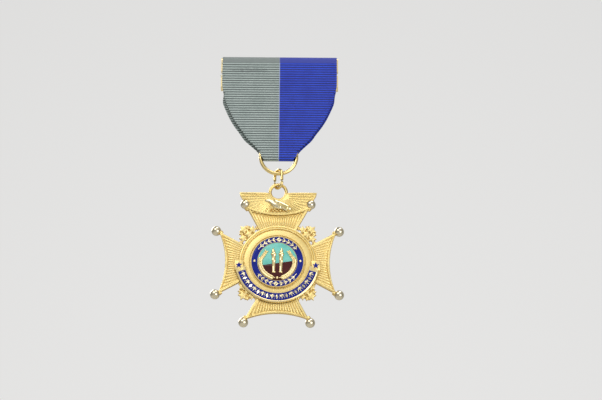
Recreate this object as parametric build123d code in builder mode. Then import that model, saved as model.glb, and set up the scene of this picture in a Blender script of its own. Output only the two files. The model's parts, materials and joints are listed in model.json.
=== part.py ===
"""A military service medal: ribbon brooch with its pin, folded ribbon, two rings and an enamelled cross.

Axes: +X to the right and +Z up as seen from the front, and the front faces -Y, as the medal hangs
on a coat. The origin is the middle of the brooch's back, where it lies against the cloth.
Lengths are millimetres.
"""

import os
from math import cos, pi, radians, sin

from build123d import *

os.makedirs("parts", exist_ok=True)

# ------------------------------------------------------------------ driving dimensions
RIBBON_WIDTH = 34.9  # inch and three eighths, the standard width
RIBBON_THICK = 0.45

BROOCH_SIDE = 0.4  # how far the tray stands out past the ribbon at each side
BROOCH_HEIGHT = 10.4
TRAY_WALL = 0.6
TRAY_ROUND = 0.84
CLAMP_THICK = 0.6
CLAMP_INSET = 0.9  # how far the clamp plate stops short of the tray all round
TAIL_GAP = 1.8  # between the two tucked ribbon ends, where the rivets pass
NOTCH_HEIGHT = 1.2
NOTCH_DEPTH = 0.5

CLAMP_RIVET_R = 0.6
CLAMP_RIVET_HEAD_R = 1.1
RIVET_HEAD = 0.35
RIVET_HEAD_ROUND = 0.21
CLAMP_RIVET_EDGE = 2.2  # rivet's middle to the tray's side
FLUSH_GAP = 0.02  # round a shank that is clinched in its hole

PIN_R = 0.45
PIN_HEIGHT = 2.2  # needle's centre line above the clamp plate
PIN_LENGTH = 24.0  # hinge to tip
PIN_POINT = 3.0
PIN_TIP_R = 0.05
PIN_OVERHANG = 2.4  # needle past the catch, at the point
KNUCKLE_R = 1.25
KNUCKLE_WIDTH = 2.0
HINGE_RIVET_R = 0.5
HINGE_RIVET_HEAD_R = 0.85
EAR_THICK = 0.5
BRACKET_FOOT = 0.8  # the hinge bracket's foot past the knuckle, each side
EAR_GAP = 0.1  # beside the knuckle, each side
RUNNING_GAP = 0.05

CATCH_LENGTH = 2.0
CATCH_WALL = 0.55
MOUTH_GAP = 0.13  # the catch's mouth past the lock's slot, each side
LOCK_GAP = 0.17  # round the needle in the lock
LOCK_WALL = 0.58
LOCK_LIP = 0.35  # how far the lock's flanges overlap the catch's sides
LOCK_FLANGE = 0.4
LOCK_TAB = 3.4  # from the lock's axis to the tab's end
LOCK_TAB_WIDTH = 1.3

SWING_GAP = 0.2  # between the brooch and the top of the drape
DRAPE_HEIGHT = 21.75  # brooch's lower edge to the ring's centre
DRAPE_EDGE = ((0.93, 0.15), (0.78, 0.41), (0.54, 0.69))  # shares of the half width and the height
POINT_WIDTH = 10.0  # the drape's point, which the ring goes round
POINT_EXIT = (0.275, 1.1)  # where the edge meets the ring, from the wire's middle and the ring's centre
POINT_CORNER = (1.0, 0.5)  # cut off the point's two corners, across and up
WRAP_ROLL = 1.3  # rounding of the ribbon over the brooch's top
POINT_DROP = 1.4  # the fold's lowest line below the ring's centre
STITCH_LENGTH = 0.9
STITCH_THICK = 0.3
STITCH_COUNT = 9
STITCH_PITCH = 1.44
SEAM_ABOVE = 2.7  # the pocket's seam above the ring

RING_OUTER_D = 11.88
RING_WIRE_R = 0.55
RING_CLEARANCE = 0.15
JUMP_LENGTH = 6.6  # outside
JUMP_WIDTH = 4.2
JUMP_WIRE_R = 0.45
JUMP_TURN = 40.0  # degrees that the oval is turned from edge-on
BUTT_GAP = 0.06  # where the ends of the bent wire meet
LINK_GAP = 0.13  # between linked wires

EYELET_RISE = 0.27  # the eyelet's middle above the wing's top edge
EYELET_R = 2.415
EYELET_WIRE_R = 0.47

CROSS_THICK = 1.1  # back to field
CROSS_BACK = 0.75  # the cross's back behind the chain's plane
ARM_TIP = 17.35
ARM_HOLLOW = 1.93  # depth of an arm's hollow end
ARM_HALF = 9.45
ARM_ROOT = 7.6
ARM_ROOT_HALF = 4.2
BORDER_WIDTH = 0.75
BORDER_RISE = 0.25
DISC_BAND = 3.45  # from the seal's edge to the disc's
DISC_RIM_WIDTH = 1.05
DISC_RIM_RISE = 0.55
BALL_R = 1.475
BALL_OUT = 0.86  # the ball's middle beyond the arm's tip, along the arm and aside from it
BALL_ASIDE = 0.31
BRAZE_GAP = 0.01

WING_OVERHANG = 1.74  # the wing's tip past the ball's middle
WING_RISE = 4.4  # the wing's top edge above the arm's tip
WING_EDGE = 0.4
PANEL_FOOT = 1.15  # the wing panel's lower corners under the arm's tip
PANEL_SAG = 0.82  # its lower line's middle under the arm's hollow end
PANEL_RISE = 0.25
EAGLE_LENGTH = 8.4
EAGLE_WIDTH = 1.4
EAGLE_TILT = -19.0
EAGLE_ASIDE = 0.1
EAGLE_BELOW = 3.65  # its middle under the wing's top edge

# each star's place in the upper right corner, its size and its tilt in degrees
STARS = ((10.0, 10.1, 1.35, -42), (7.45, 10.15, 1.3, 0), (10.05, 7.6, 1.3, 12), (8.6, 8.7, 1.3, 48))
STAR_RISE = 0.3
STAR_WAIST = 0.45  # a star's inner radius as a share of its outer one
STAR_PAD = (9.1, 9.1, 1.9)  # backing under the stars: its place and radius

SEAL_R = 7.9
SEAL_RIM_WIDTH = 0.35
SEAL_THICK = 0.65
SEAL_RECESS = 0.35
SEAL_SINK = 0.1  # the seal's seat under the disc's rim
SEAL_RING_WIDTH = 1.6
DIVIDER_WIDTH = 0.2
PELLET_R = 0.42
TORCH_SPACING = 2.3
TORCH_WIDTH = 0.75
TORCH_MARGIN = 1.85  # field's edge to a torch's end
SPRAY_WIDTH = 0.9
SPRAY_MARGIN = 0.35  # field's edge to a spray
SPRAY_START = 282.0
SPRAY_SWEEP = 92.0
HORIZON_LEFT = -1.6  # height of the ground's edge at the seal's two sides
HORIZON_RIGHT = 0.75
SEAL_LEAVES = 28
LEAF_LONG = 0.42
LEAF_SHORT = 0.2
ENAMEL_DROP = 0.06  # enamel lies this far under its metal edges
POST_R = 0.5
SEAL_POST_IN = 2.9  # the seal's edge to its posts
BANNER_POST_ANGLE = 40.0  # each side of straight down

BANNER_GAP = 1.55  # the seal's edge to the banner
BANNER_WIDTH = 3.05
BANNER_POST_IN = 1.15  # the banner's inner edge to its posts
BANNER_LINE = 0.3
BANNER_RIM = 0.65
BANNER_THICK = 0.75
BANNER_RECESS = 0.3
BANNER_END = 8.0  # degrees below the horizontal where the half ring ends
BANNER_ENAMEL_END = 15.5
BANNER_MARKS = 19
BANNER_MARK_MARGIN = 5.0
PLAQUE_WIDTH = 2.6
PLAQUE_HEIGHT = 3.0
PLAQUE_OUT = 0.325  # a plaque's middle past the banner's
PLAQUE_DROP = 1.2
PLAQUE_STAR_R = 1.1

# ------------------------------------------------------------------ sizes worked out from them
brooch_width = RIBBON_WIDTH + 2 * BROOCH_SIDE
pocket_gap = 2 * (RING_WIRE_R + RING_CLEARANCE)

lock_bore_r = PIN_R + LOCK_GAP
lock_r = lock_bore_r + LOCK_WALL
catch_bore_r = lock_r + RUNNING_GAP
catch_r = catch_bore_r + CATCH_WALL
catch_mouth = 2 * (lock_bore_r + MOUTH_GAP)
lock_flange_r = catch_bore_r + LOCK_LIP

arm_reach = ARM_TIP - ARM_HOLLOW
arm_slope = (ARM_HALF - ARM_ROOT_HALF) / (ARM_TIP - ARM_ROOT)
ball_long = ARM_TIP + BALL_OUT
ball_short = ARM_HALF + BALL_ASIDE
wing_tip = ball_short + WING_OVERHANG
wing_top = ARM_TIP + WING_RISE
panel_foot = ARM_TIP - PANEL_FOOT
panel_half = ARM_HALF - arm_slope * PANEL_FOOT
panel_sag = arm_reach - PANEL_SAG
eyelet_height = wing_top + EYELET_RISE

disc_r = SEAL_R + DISC_BAND
seal_ring_outer = SEAL_R - SEAL_RIM_WIDTH
seal_ring_r = seal_ring_outer - SEAL_RING_WIDTH
seal_field_r = seal_ring_r - DIVIDER_WIDTH
torch_half = seal_field_r - TORCH_MARGIN
spray_r = seal_field_r - SPRAY_MARGIN - SPRAY_WIDTH / 2
banner_inner_r = SEAL_R + BANNER_GAP
banner_outer_r = banner_inner_r + BANNER_WIDTH
plaque_out = (banner_inner_r + banner_outer_r) / 2 + PLAQUE_OUT

# ------------------------------------------------------------------ places worked out from them
clamp_back = 0.0
tail_back = clamp_back - CLAMP_THICK
tray_back = tail_back - RIBBON_THICK
tray_front = tray_back - (pocket_gap + RIBBON_THICK)
wrap_front = tray_front - RIBBON_THICK
chain_y = (wrap_front + tray_back) / 2  # the plane that the drape and both rings hang in
brooch_bottom = -BROOCH_HEIGHT / 2
drape_half = (pocket_gap + 2 * RIBBON_THICK) / 2

swing_z = brooch_bottom - SWING_GAP - drape_half
ring_r = RING_OUTER_D / 2 - RING_WIRE_R
ring_z = brooch_bottom - DRAPE_HEIGHT
ring_bottom = ring_z - ring_r
jump_top = ring_bottom + RING_WIRE_R + JUMP_WIRE_R + LINK_GAP
jump_drop = JUMP_LENGTH - 2 * JUMP_WIRE_R
jump_r = JUMP_WIDTH / 2 - JUMP_WIRE_R
jump_bottom = jump_top - jump_drop
eyelet_top = jump_bottom + JUMP_WIRE_R + EYELET_WIRE_R + LINK_GAP
eyelet_z = eyelet_top - EYELET_R
cross_z = eyelet_z - eyelet_height

# depths in the cross, measured forwards from the plane that it hangs in
back = -CROSS_BACK
field = back + CROSS_THICK
border = field + BORDER_RISE
rim = field + DISC_RIM_RISE
seal_seat = rim - SEAL_SINK
seal_face = seal_seat + SEAL_THICK
seal_floor = seal_face - SEAL_RECESS
banner_face = rim + BANNER_THICK
banner_floor = banner_face - BANNER_RECESS

seal_post_out = SEAL_R - SEAL_POST_IN
seal_post_places = [(0, -seal_post_out), (0, seal_post_out)]
banner_post_r = banner_inner_r + BANNER_POST_IN
banner_post_places = [
    (banner_post_r * sin(radians(side * BANNER_POST_ANGLE)), -banner_post_r * cos(radians(BANNER_POST_ANGLE)))
    for side in (-1, 1)
]
post_places = seal_post_places + banner_post_places

hinge_x = -PIN_LENGTH / 2
catch_x = PIN_LENGTH / 2 - PIN_OVERHANG

cross_plane = Plane(origin=(0, chain_y, cross_z), x_dir=(1, 0, 0), z_dir=(0, -1, 0))
hang_plane = Plane(origin=(0, chain_y, 0), x_dir=(1, 0, 0), z_dir=(0, -1, 0))


# ------------------------------------------------------------------ brooch
with BuildPart() as brooch_tray:
    with BuildSketch(Plane.YZ.offset(-brooch_width / 2)):
        with Locations(((tray_front + tray_back) / 2, 0)):
            Rectangle(tray_back - tray_front, BROOCH_HEIGHT)
    extrude(amount=brooch_width)
    fillet(brooch_tray.edges().filter_by(Axis.X).group_by(Axis.Y)[0], TRAY_ROUND)
    with BuildSketch(Plane.XZ.offset(-tray_back)):
        Rectangle(brooch_width - 2 * TRAY_WALL, BROOCH_HEIGHT - 2 * TRAY_WALL)
    extrude(amount=tray_back - tray_front - TRAY_WALL, mode=Mode.SUBTRACT)
    with BuildSketch(Plane.XZ.offset(-tray_back)):
        with GridLocations(brooch_width, 0, 2, 1):
            Rectangle(2 * NOTCH_DEPTH, NOTCH_HEIGHT)
        with GridLocations(brooch_width - 2 * CLAMP_RIVET_EDGE, 0, 2, 1):
            Circle(CLAMP_RIVET_R + FLUSH_GAP)
    extrude(amount=tray_back - tray_front, mode=Mode.SUBTRACT)
brooch_tray.part.label = "brooch_tray"
export_step(brooch_tray.part, "parts/brooch_tray.step")

with BuildPart() as clamp_plate:
    with BuildSketch(Plane.XZ.offset(-clamp_back)):
        RectangleRounded(brooch_width - 2 * CLAMP_INSET, BROOCH_HEIGHT - 2 * CLAMP_INSET, CLAMP_INSET)
        with GridLocations(brooch_width - 2 * CLAMP_RIVET_EDGE, 0, 2, 1):
            Circle(CLAMP_RIVET_R + FLUSH_GAP, mode=Mode.SUBTRACT)
    extrude(amount=CLAMP_THICK)
clamp_plate.part.label = "clamp_plate"
export_step(clamp_plate.part, "parts/clamp_plate.step")

with BuildPart() as clamp_rivets:
    with BuildSketch(Plane.XZ.offset(-clamp_back)):
        with GridLocations(brooch_width - 2 * CLAMP_RIVET_EDGE, 0, 2, 1):
            Circle(CLAMP_RIVET_R)
    extrude(amount=clamp_back - tray_front)
    with BuildSketch(Plane.XZ.offset(-clamp_back)):
        with GridLocations(brooch_width - 2 * CLAMP_RIVET_EDGE, 0, 2, 1):
            Circle(CLAMP_RIVET_HEAD_R)
    extrude(amount=-RIVET_HEAD)
    fillet(clamp_rivets.edges().group_by(Axis.Y)[-1], RIVET_HEAD_ROUND)
clamp_rivets.part.label = "clamp_rivets"
export_step(clamp_rivets.part, "parts/clamp_rivets.step")

# ------------------------------------------------------------------ pin, hinge and catch
ear_offset = KNUCKLE_WIDTH / 2 + EAR_GAP
with BuildPart() as hinge_bracket:
    with BuildSketch(Plane.XZ.offset(-clamp_back)):
        with Locations((hinge_x, 0)):
            Rectangle(2 * (KNUCKLE_R + BRACKET_FOOT), 2 * (ear_offset + EAR_THICK))
    extrude(amount=-EAR_THICK)
    for side in (-1, 1):
        with BuildSketch(Plane.XY.offset(side * ear_offset)):
            with Locations((hinge_x, PIN_HEIGHT / 2)):
                Rectangle(2 * KNUCKLE_R, PIN_HEIGHT)
            with Locations((hinge_x, PIN_HEIGHT)):
                Circle(KNUCKLE_R)
                Circle(HINGE_RIVET_R + FLUSH_GAP, mode=Mode.SUBTRACT)
        extrude(amount=side * EAR_THICK)
hinge_bracket.part.label = "hinge_bracket"
export_step(hinge_bracket.part, "parts/hinge_bracket.step")

ear_outside = ear_offset + EAR_THICK
with BuildPart() as hinge_rivet:
    with BuildSketch(Plane.XY.offset(-ear_outside - RIVET_HEAD)):
        with Locations((hinge_x, PIN_HEIGHT)):
            Circle(HINGE_RIVET_HEAD_R)
    extrude(amount=RIVET_HEAD)
    with BuildSketch(Plane.XY.offset(-ear_outside)):
        with Locations((hinge_x, PIN_HEIGHT)):
            Circle(HINGE_RIVET_R)
    extrude(amount=2 * ear_outside)
    with BuildSketch(Plane.XY.offset(ear_outside)):
        with Locations((hinge_x, PIN_HEIGHT)):
            Circle(HINGE_RIVET_HEAD_R)
    extrude(amount=RIVET_HEAD)
    outer_edges = hinge_rivet.edges().group_by(Axis.Z)
    fillet(outer_edges[0] + outer_edges[-1], RIVET_HEAD_ROUND)
hinge_rivet.part.label = "hinge_rivet"
export_step(hinge_rivet.part, "parts/hinge_rivet.step")

with BuildPart() as pin_stem:
    with BuildSketch(Plane.XY):
        with Locations((hinge_x, PIN_HEIGHT)):
            Circle(KNUCKLE_R)
    extrude(amount=KNUCKLE_WIDTH / 2, both=True)
    with Locations(Location((hinge_x, PIN_HEIGHT, 0), (0, 90, 0))):
        Cylinder(PIN_R, PIN_LENGTH - PIN_POINT, align=(Align.CENTER, Align.CENTER, Align.MIN))
    with Locations(Location((hinge_x + PIN_LENGTH - PIN_POINT, PIN_HEIGHT, 0), (0, 90, 0))):
        Cone(PIN_R, PIN_TIP_R, PIN_POINT, align=(Align.CENTER, Align.CENTER, Align.MIN))
    with BuildSketch(Plane.XY):
        with Locations((hinge_x, PIN_HEIGHT)):
            Circle(HINGE_RIVET_R + RUNNING_GAP)
    extrude(amount=KNUCKLE_WIDTH, both=True, mode=Mode.SUBTRACT)
pin_stem.part.label = "pin_stem"
export_step(pin_stem.part, "parts/pin_stem.step")

catch_plane = Plane(origin=(catch_x, PIN_HEIGHT, 0), x_dir=(0, 1, 0), z_dir=(1, 0, 0))
with BuildPart() as catch_bracket:
    with BuildSketch(catch_plane.offset(-CATCH_LENGTH / 2)):
        Circle(catch_r)
        with Locations((-PIN_HEIGHT / 2, 0)):
            Rectangle(PIN_HEIGHT, 2 * catch_r)
        Circle(catch_bore_r, mode=Mode.SUBTRACT)
        with Locations((catch_r, 0)):
            Rectangle(2 * catch_r, catch_mouth, mode=Mode.SUBTRACT)
    extrude(amount=CATCH_LENGTH)
catch_bracket.part.label = "catch_bracket"
export_step(catch_bracket.part, "parts/catch_bracket.step")

lock_end = CATCH_LENGTH / 2 + RUNNING_GAP
with BuildPart() as catch_lock:
    with BuildSketch(catch_plane.offset(-lock_end)):
        Circle(lock_r)
    extrude(amount=2 * lock_end)
    for side in (-1, 1):
        with BuildSketch(catch_plane.offset(side * lock_end)):
            Circle(lock_flange_r)
        extrude(amount=side * LOCK_FLANGE)
    with BuildSketch(catch_plane.offset(lock_end)):
        with Locations((0, LOCK_TAB / 2)):
            SlotOverall(LOCK_TAB, LOCK_TAB_WIDTH, rotation=90)
    extrude(amount=LOCK_FLANGE)
    with BuildSketch(catch_plane.offset(-lock_end - LOCK_FLANGE)):
        Circle(lock_bore_r)
        with Locations((lock_flange_r, 0)):
            Rectangle(2 * lock_flange_r, 2 * lock_bore_r)
    extrude(amount=2 * (lock_end + LOCK_FLANGE), mode=Mode.SUBTRACT)
catch_lock.part.label = "catch_lock"
export_step(catch_lock.part, "parts/catch_lock.step")

# ------------------------------------------------------------------ ribbon
wrap_middle = (wrap_front + tail_back) / 2
with BuildPart() as ribbon_wrap:
    with BuildSketch(Plane.YZ.offset(-RIBBON_WIDTH / 2)) as wrap_section:
        with Locations((wrap_middle, brooch_bottom)):
            outside = Rectangle(
                tail_back - wrap_front,
                BROOCH_HEIGHT + RIBBON_THICK,
                align=(Align.CENTER, Align.MIN),
            )
        fillet(outside.vertices().group_by(Axis.Z)[-1], WRAP_ROLL)
        with Locations(((tray_front + tray_back) / 2, 0)):
            Rectangle(tray_back - tray_front, BROOCH_HEIGHT, mode=Mode.SUBTRACT)
        with Locations(((tray_back + tail_back) / 2, TAIL_GAP / 2)):
            Rectangle(RIBBON_THICK, BROOCH_HEIGHT, align=(Align.CENTER, Align.MAX), mode=Mode.SUBTRACT)
    extrude(amount=RIBBON_WIDTH)
    with BuildSketch(Plane.YZ.offset(-RIBBON_WIDTH / 2)):
        with Locations(((tray_back + tail_back) / 2, brooch_bottom)):
            Rectangle(
                RIBBON_THICK,
                BROOCH_HEIGHT / 2 - TAIL_GAP / 2,
                align=(Align.CENTER, Align.MIN),
            )
    extrude(amount=RIBBON_WIDTH)
ribbon_wrap.part.label = "ribbon_wrap"
export_step(ribbon_wrap.part, "parts/ribbon_wrap.step")

shoulder = RIBBON_WIDTH / 2
point = POINT_WIDTH / 2
fold_z = ring_z - POINT_DROP
exit_out, exit_up = POINT_EXIT
corner_in, corner_up = POINT_CORNER
with BuildPart() as ribbon_drape:
    with BuildSketch(hang_plane.offset(-drape_half)):
        with BuildLine():
            right = Spline(
                (shoulder, swing_z),
                *[(shoulder * across, swing_z - DRAPE_HEIGHT * down) for across, down in DRAPE_EDGE],
                (ring_r + exit_out, ring_z + exit_up),
                tangents=((0, -1), (-0.45, -1)),
            )
            foot = Polyline(
                right @ 1,
                (point, fold_z + corner_up),
                (point - corner_in, fold_z),
                (0, fold_z),
            )
            Line(foot @ 1, (0, swing_z))
            Line((0, swing_z), right @ 0)
        make_face()
        mirror(about=Plane.YZ)
    extrude(amount=2 * drape_half)
    with Locations(Location((0, chain_y, swing_z), (0, 90, 0))):
        Cylinder(drape_half, 2 * shoulder)
    with Locations(Location((0, chain_y, ring_z), (90, 0, 0))):
        Torus(ring_r, RING_WIRE_R + RING_CLEARANCE, mode=Mode.SUBTRACT)
ribbon_drape.part.label = "ribbon_drape"
export_step(ribbon_drape.part, "parts/ribbon_drape.step")

seam_z = ring_z + ring_r + RING_WIRE_R + RING_CLEARANCE + SEAM_ABOVE
with BuildPart() as drape_stitches:
    with BuildSketch(hang_plane.offset(-drape_half)):
        with Locations((0, seam_z)):
            with GridLocations(STITCH_PITCH, 0, STITCH_COUNT, 1):
                SlotOverall(STITCH_LENGTH, STITCH_THICK)
    extrude(amount=-STITCH_THICK / 2)
drape_stitches.part.label = "drape_stitches"
export_step(drape_stitches.part, "parts/drape_stitches.step")

# ------------------------------------------------------------------ rings
ring_plane = Plane(origin=(0, chain_y, ring_z), x_dir=(1, 0, 0), z_dir=(0, -1, 0))
with BuildPart() as suspension_ring:
    with BuildLine(ring_plane) as ring_line:
        butt_angle = 360 * BUTT_GAP / (2 * pi * ring_r)
        CenterArc((0, 0), ring_r, 90 + butt_angle / 2, 360 - butt_angle)
    ring_path = ring_line.wires()[0]
    with BuildSketch(Plane(origin=ring_path @ 0, z_dir=ring_path % 0)):
        Circle(RING_WIRE_R)
    sweep(path=ring_path)
suspension_ring.part.label = "suspension_ring"
export_step(suspension_ring.part, "parts/suspension_ring.step")

turn = radians(JUMP_TURN)
jump_plane = Plane(
    origin=(0, chain_y, (jump_top + jump_bottom) / 2),
    x_dir=(sin(turn), -cos(turn), 0),
    z_dir=(-cos(turn), -sin(turn), 0),
)
jump_leg = jump_drop / 2 - jump_r
with BuildPart() as jump_ring:
    with BuildLine(jump_plane) as jump_line:
        Line((jump_r, BUTT_GAP / 2), (jump_r, jump_leg))
        CenterArc((0, jump_leg), jump_r, 0, 180)
        Line((-jump_r, jump_leg), (-jump_r, -jump_leg))
        CenterArc((0, -jump_leg), jump_r, 180, 180)
        Line((jump_r, -jump_leg), (jump_r, -BUTT_GAP / 2))
    jump_path = jump_line.wires()[0]
    with BuildSketch(Plane(origin=jump_path @ 0, z_dir=jump_path % 0)):
        Circle(JUMP_WIRE_R)
    sweep(path=jump_path)
jump_ring.part.label = "jump_ring"
export_step(jump_ring.part, "parts/jump_ring.step")

# ------------------------------------------------------------------ cross
ball_places = [
    (a * x, b * y)
    for x, y in ((ball_long, ball_short), (ball_short, ball_long))
    for a in (-1, 1)
    for b in (-1, 1)
]

with BuildSketch() as arm_outline:
    with BuildLine():
        Polyline((ARM_TIP, -ARM_HALF), (ARM_ROOT, -ARM_ROOT_HALF), (ARM_ROOT, ARM_ROOT_HALF), (ARM_TIP, ARM_HALF))
        ThreePointArc((ARM_TIP, ARM_HALF), (arm_reach, 0), (ARM_TIP, -ARM_HALF))
    make_face()

with BuildSketch() as arm_field:
    offset(arm_outline.sketch, amount=-BORDER_WIDTH, kind=Kind.INTERSECTION)

with BuildSketch() as wing_outline:
    with BuildLine():
        Polyline(
            (panel_half, panel_foot),
            (ball_short + BALL_R / 2, ball_long + BALL_R / 2),
            (wing_tip, wing_top - WING_EDGE),
            (wing_tip, wing_top),
            (-wing_tip, wing_top),
            (-wing_tip, wing_top - WING_EDGE),
            (-ball_short - BALL_R / 2, ball_long + BALL_R / 2),
            (-panel_half, panel_foot),
        )
        ThreePointArc((-panel_half, panel_foot), (0, panel_sag), (panel_half, panel_foot))
    make_face()


def star(radius, turn=0.0):
    """Corner points of a five-pointed star with its first point at the top, turned by degrees."""
    waist = radius * STAR_WAIST
    radii = (radius, waist) * 5
    steps = [radians(90 + turn + 36 * k) for k in range(10)]
    return [(r * cos(t), r * sin(t)) for r, t in zip(radii, steps)]


with BuildPart() as cross_body:
    with BuildSketch(cross_plane.offset(back)):
        Circle(disc_r)
        for quarter in range(4):
            add(arm_outline.sketch, rotation=90 * quarter)
        add(wing_outline.sketch)
    extrude(amount=border - back)
    with BuildSketch(cross_plane.offset(field)):
        for quarter in range(4):
            add(arm_field.sketch, rotation=90 * quarter)
    extrude(amount=BORDER_RISE, mode=Mode.SUBTRACT)
    with BuildSketch(cross_plane.offset(field)):
        add(wing_outline.sketch)
    extrude(amount=PANEL_RISE)
    with BuildSketch(cross_plane.offset(back)):
        Circle(disc_r)
    extrude(amount=rim - back)
    with BuildSketch(cross_plane.offset(seal_seat)):
        Circle(disc_r - DISC_RIM_WIDTH)
    extrude(amount=rim - seal_seat, mode=Mode.SUBTRACT)
    with BuildSketch(cross_plane.offset(back)):
        for a in (-1, 1):
            for b in (-1, 1):
                pad_x, pad_y, pad_r = STAR_PAD
                with Locations((a * pad_x, b * pad_y)):
                    Circle(pad_r)
    extrude(amount=CROSS_THICK)
    with BuildSketch(cross_plane.offset(back)):
        for a in (-1, 1):
            for b in (-1, 1):
                for x, y, size, tilt in STARS:
                    with Locations((a * x, b * y)):
                        Polygon(*star(size, a * b * tilt), align=None)
    extrude(amount=CROSS_THICK + STAR_RISE)
    with BuildSketch(cross_plane.offset(back)):
        with Locations((0, eyelet_height)):
            Circle(EYELET_R)
    extrude(amount=rim - back, mode=Mode.SUBTRACT)
    with Locations(cross_plane):
        with Locations((0, eyelet_height, 0)):
            Torus(EYELET_R, EYELET_WIRE_R)
        with Locations(*[(x, y, 0) for x, y in ball_places]):
            Sphere(BALL_R + BRAZE_GAP, mode=Mode.SUBTRACT)
        with Locations(*post_places):
            Cylinder(POST_R + FLUSH_GAP, 2 * (banner_face - back), mode=Mode.SUBTRACT)
cross_body.part.label = "cross_body"
export_step(cross_body.part, "parts/cross_body.step")

eagle_spot = Location((EAGLE_ASIDE, wing_top - EAGLE_BELOW, field + PANEL_RISE), (0, 0, EAGLE_TILT))
eagle_plane = Plane(cross_plane.location * eagle_spot)
with BuildPart() as eagle_badge:
    with BuildSketch(eagle_plane):
        Ellipse(EAGLE_LENGTH / 2, EAGLE_WIDTH / 2)
        Rectangle(EAGLE_LENGTH, EAGLE_WIDTH, align=(Align.CENTER, Align.MAX), mode=Mode.SUBTRACT)
    revolve(axis=Axis(eagle_plane.origin, eagle_plane.x_dir))
    split(bisect_by=eagle_plane, keep=Keep.BOTTOM)
eagle_badge.part.label = "eagle_badge"
export_step(eagle_badge.part, "parts/eagle_badge.step")

with BuildPart() as ball_finials:
    with Locations(cross_plane):
        with Locations(*[(x, y, 0) for x, y in ball_places]):
            Sphere(BALL_R)
ball_finials.part.label = "ball_finials"
export_step(ball_finials.part, "parts/ball_finials.step")

# ------------------------------------------------------------------ seal
with BuildSketch() as seal_relief:
    for side in (-1, 1):
        with Locations((side * TORCH_SPACING / 2, 0)):
            Rectangle(TORCH_WIDTH, 2 * torch_half)
    with BuildLine():
        CenterArc((0, 0), spray_r, SPRAY_START, SPRAY_SWEEP)
    trace(line_width=SPRAY_WIDTH)
    with BuildLine():
        CenterArc((0, 0), spray_r, 180 - SPRAY_START - SPRAY_SWEEP, SPRAY_SWEEP)
    trace(line_width=SPRAY_WIDTH)

with BuildSketch() as ring_relief:
    with PolarLocations((seal_ring_r + seal_ring_outer) / 2, 2):
        Circle(PELLET_R)
    with PolarLocations((seal_ring_r + seal_ring_outer) / 2, SEAL_LEAVES, start_angle=180 / SEAL_LEAVES):
        Ellipse(LEAF_LONG, LEAF_SHORT)

with BuildPart() as seal_plate:
    with BuildSketch(cross_plane.offset(seal_seat)):
        Circle(SEAL_R)
    extrude(amount=SEAL_THICK)
    with BuildSketch(cross_plane.offset(seal_floor)):
        Circle(seal_ring_outer)
        Circle(seal_ring_r, mode=Mode.SUBTRACT)
        Circle(seal_field_r)
        add(seal_relief.sketch, mode=Mode.SUBTRACT)
        add(ring_relief.sketch, mode=Mode.SUBTRACT)
    extrude(amount=SEAL_RECESS, mode=Mode.SUBTRACT)
seal_plate.part.label = "seal_plate"
export_step(seal_plate.part, "parts/seal_plate.step")

enamel_depth = SEAL_RECESS - ENAMEL_DROP
with BuildPart() as seal_ring_enamel:
    with BuildSketch(cross_plane.offset(seal_floor)):
        Circle(seal_ring_outer)
        Circle(seal_ring_r, mode=Mode.SUBTRACT)
        add(ring_relief.sketch, mode=Mode.SUBTRACT)
    extrude(amount=enamel_depth)
seal_ring_enamel.part.label = "seal_ring_enamel"
export_step(seal_ring_enamel.part, "parts/seal_ring_enamel.step")

with BuildSketch() as ground_area:
    with BuildLine():
        Polyline(
            (-SEAL_R, HORIZON_LEFT),
            (SEAL_R, HORIZON_RIGHT),
            (SEAL_R, -SEAL_R),
            (-SEAL_R, -SEAL_R),
            close=True,
        )
    make_face()

with BuildPart() as sky_enamel:
    with BuildSketch(cross_plane.offset(seal_floor)):
        Circle(seal_field_r)
        add(ground_area.sketch, mode=Mode.SUBTRACT)
        add(seal_relief.sketch, mode=Mode.SUBTRACT)
    extrude(amount=enamel_depth)
sky_enamel.part.label = "sky_enamel"
export_step(sky_enamel.part, "parts/sky_enamel.step")

with BuildPart() as ground_enamel:
    with BuildSketch(cross_plane.offset(seal_floor)):
        Circle(seal_field_r)
        add(ground_area.sketch, mode=Mode.INTERSECT)
        add(seal_relief.sketch, mode=Mode.SUBTRACT)
    extrude(amount=enamel_depth)
ground_enamel.part.label = "ground_enamel"
export_step(ground_enamel.part, "parts/ground_enamel.step")

with BuildPart() as seal_posts:
    with BuildSketch(cross_plane.offset(back)):
        with Locations(*seal_post_places):
            Circle(POST_R)
    extrude(amount=seal_seat - back)
seal_posts.part.label = "seal_posts"
export_step(seal_posts.part, "parts/seal_posts.step")

# ------------------------------------------------------------------ banner


def upper_part(drop):
    """Corner points of everything above two rays that fall away from the middle by drop degrees."""
    reach = 3 * banner_outer_r
    far_x, far_y = reach * cos(radians(drop)), -reach * sin(radians(drop))
    return [(0, 0), (far_x, far_y), (reach, reach), (-reach, reach), (-far_x, far_y)]


plaque_places = [(side * plaque_out, -PLAQUE_DROP) for side in (-1, 1)]
mark_radius = (banner_inner_r + BANNER_LINE + banner_outer_r - BANNER_RIM) / 2
mark_first = 180 + BANNER_ENAMEL_END + BANNER_MARK_MARGIN
with BuildSketch() as banner_channel:
    Circle(banner_outer_r - BANNER_RIM)
    Circle(banner_inner_r + BANNER_LINE, mode=Mode.SUBTRACT)
    Polygon(*upper_part(BANNER_ENAMEL_END), align=None, mode=Mode.SUBTRACT)
    with PolarLocations(mark_radius, BANNER_MARKS, mark_first, 540 - 2 * mark_first, endpoint=True):
        Ellipse(LEAF_LONG, LEAF_SHORT, mode=Mode.SUBTRACT)

with BuildSketch() as plaque_stars:
    with Locations(*plaque_places):
        Polygon(*star(PLAQUE_STAR_R), align=None)

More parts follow.
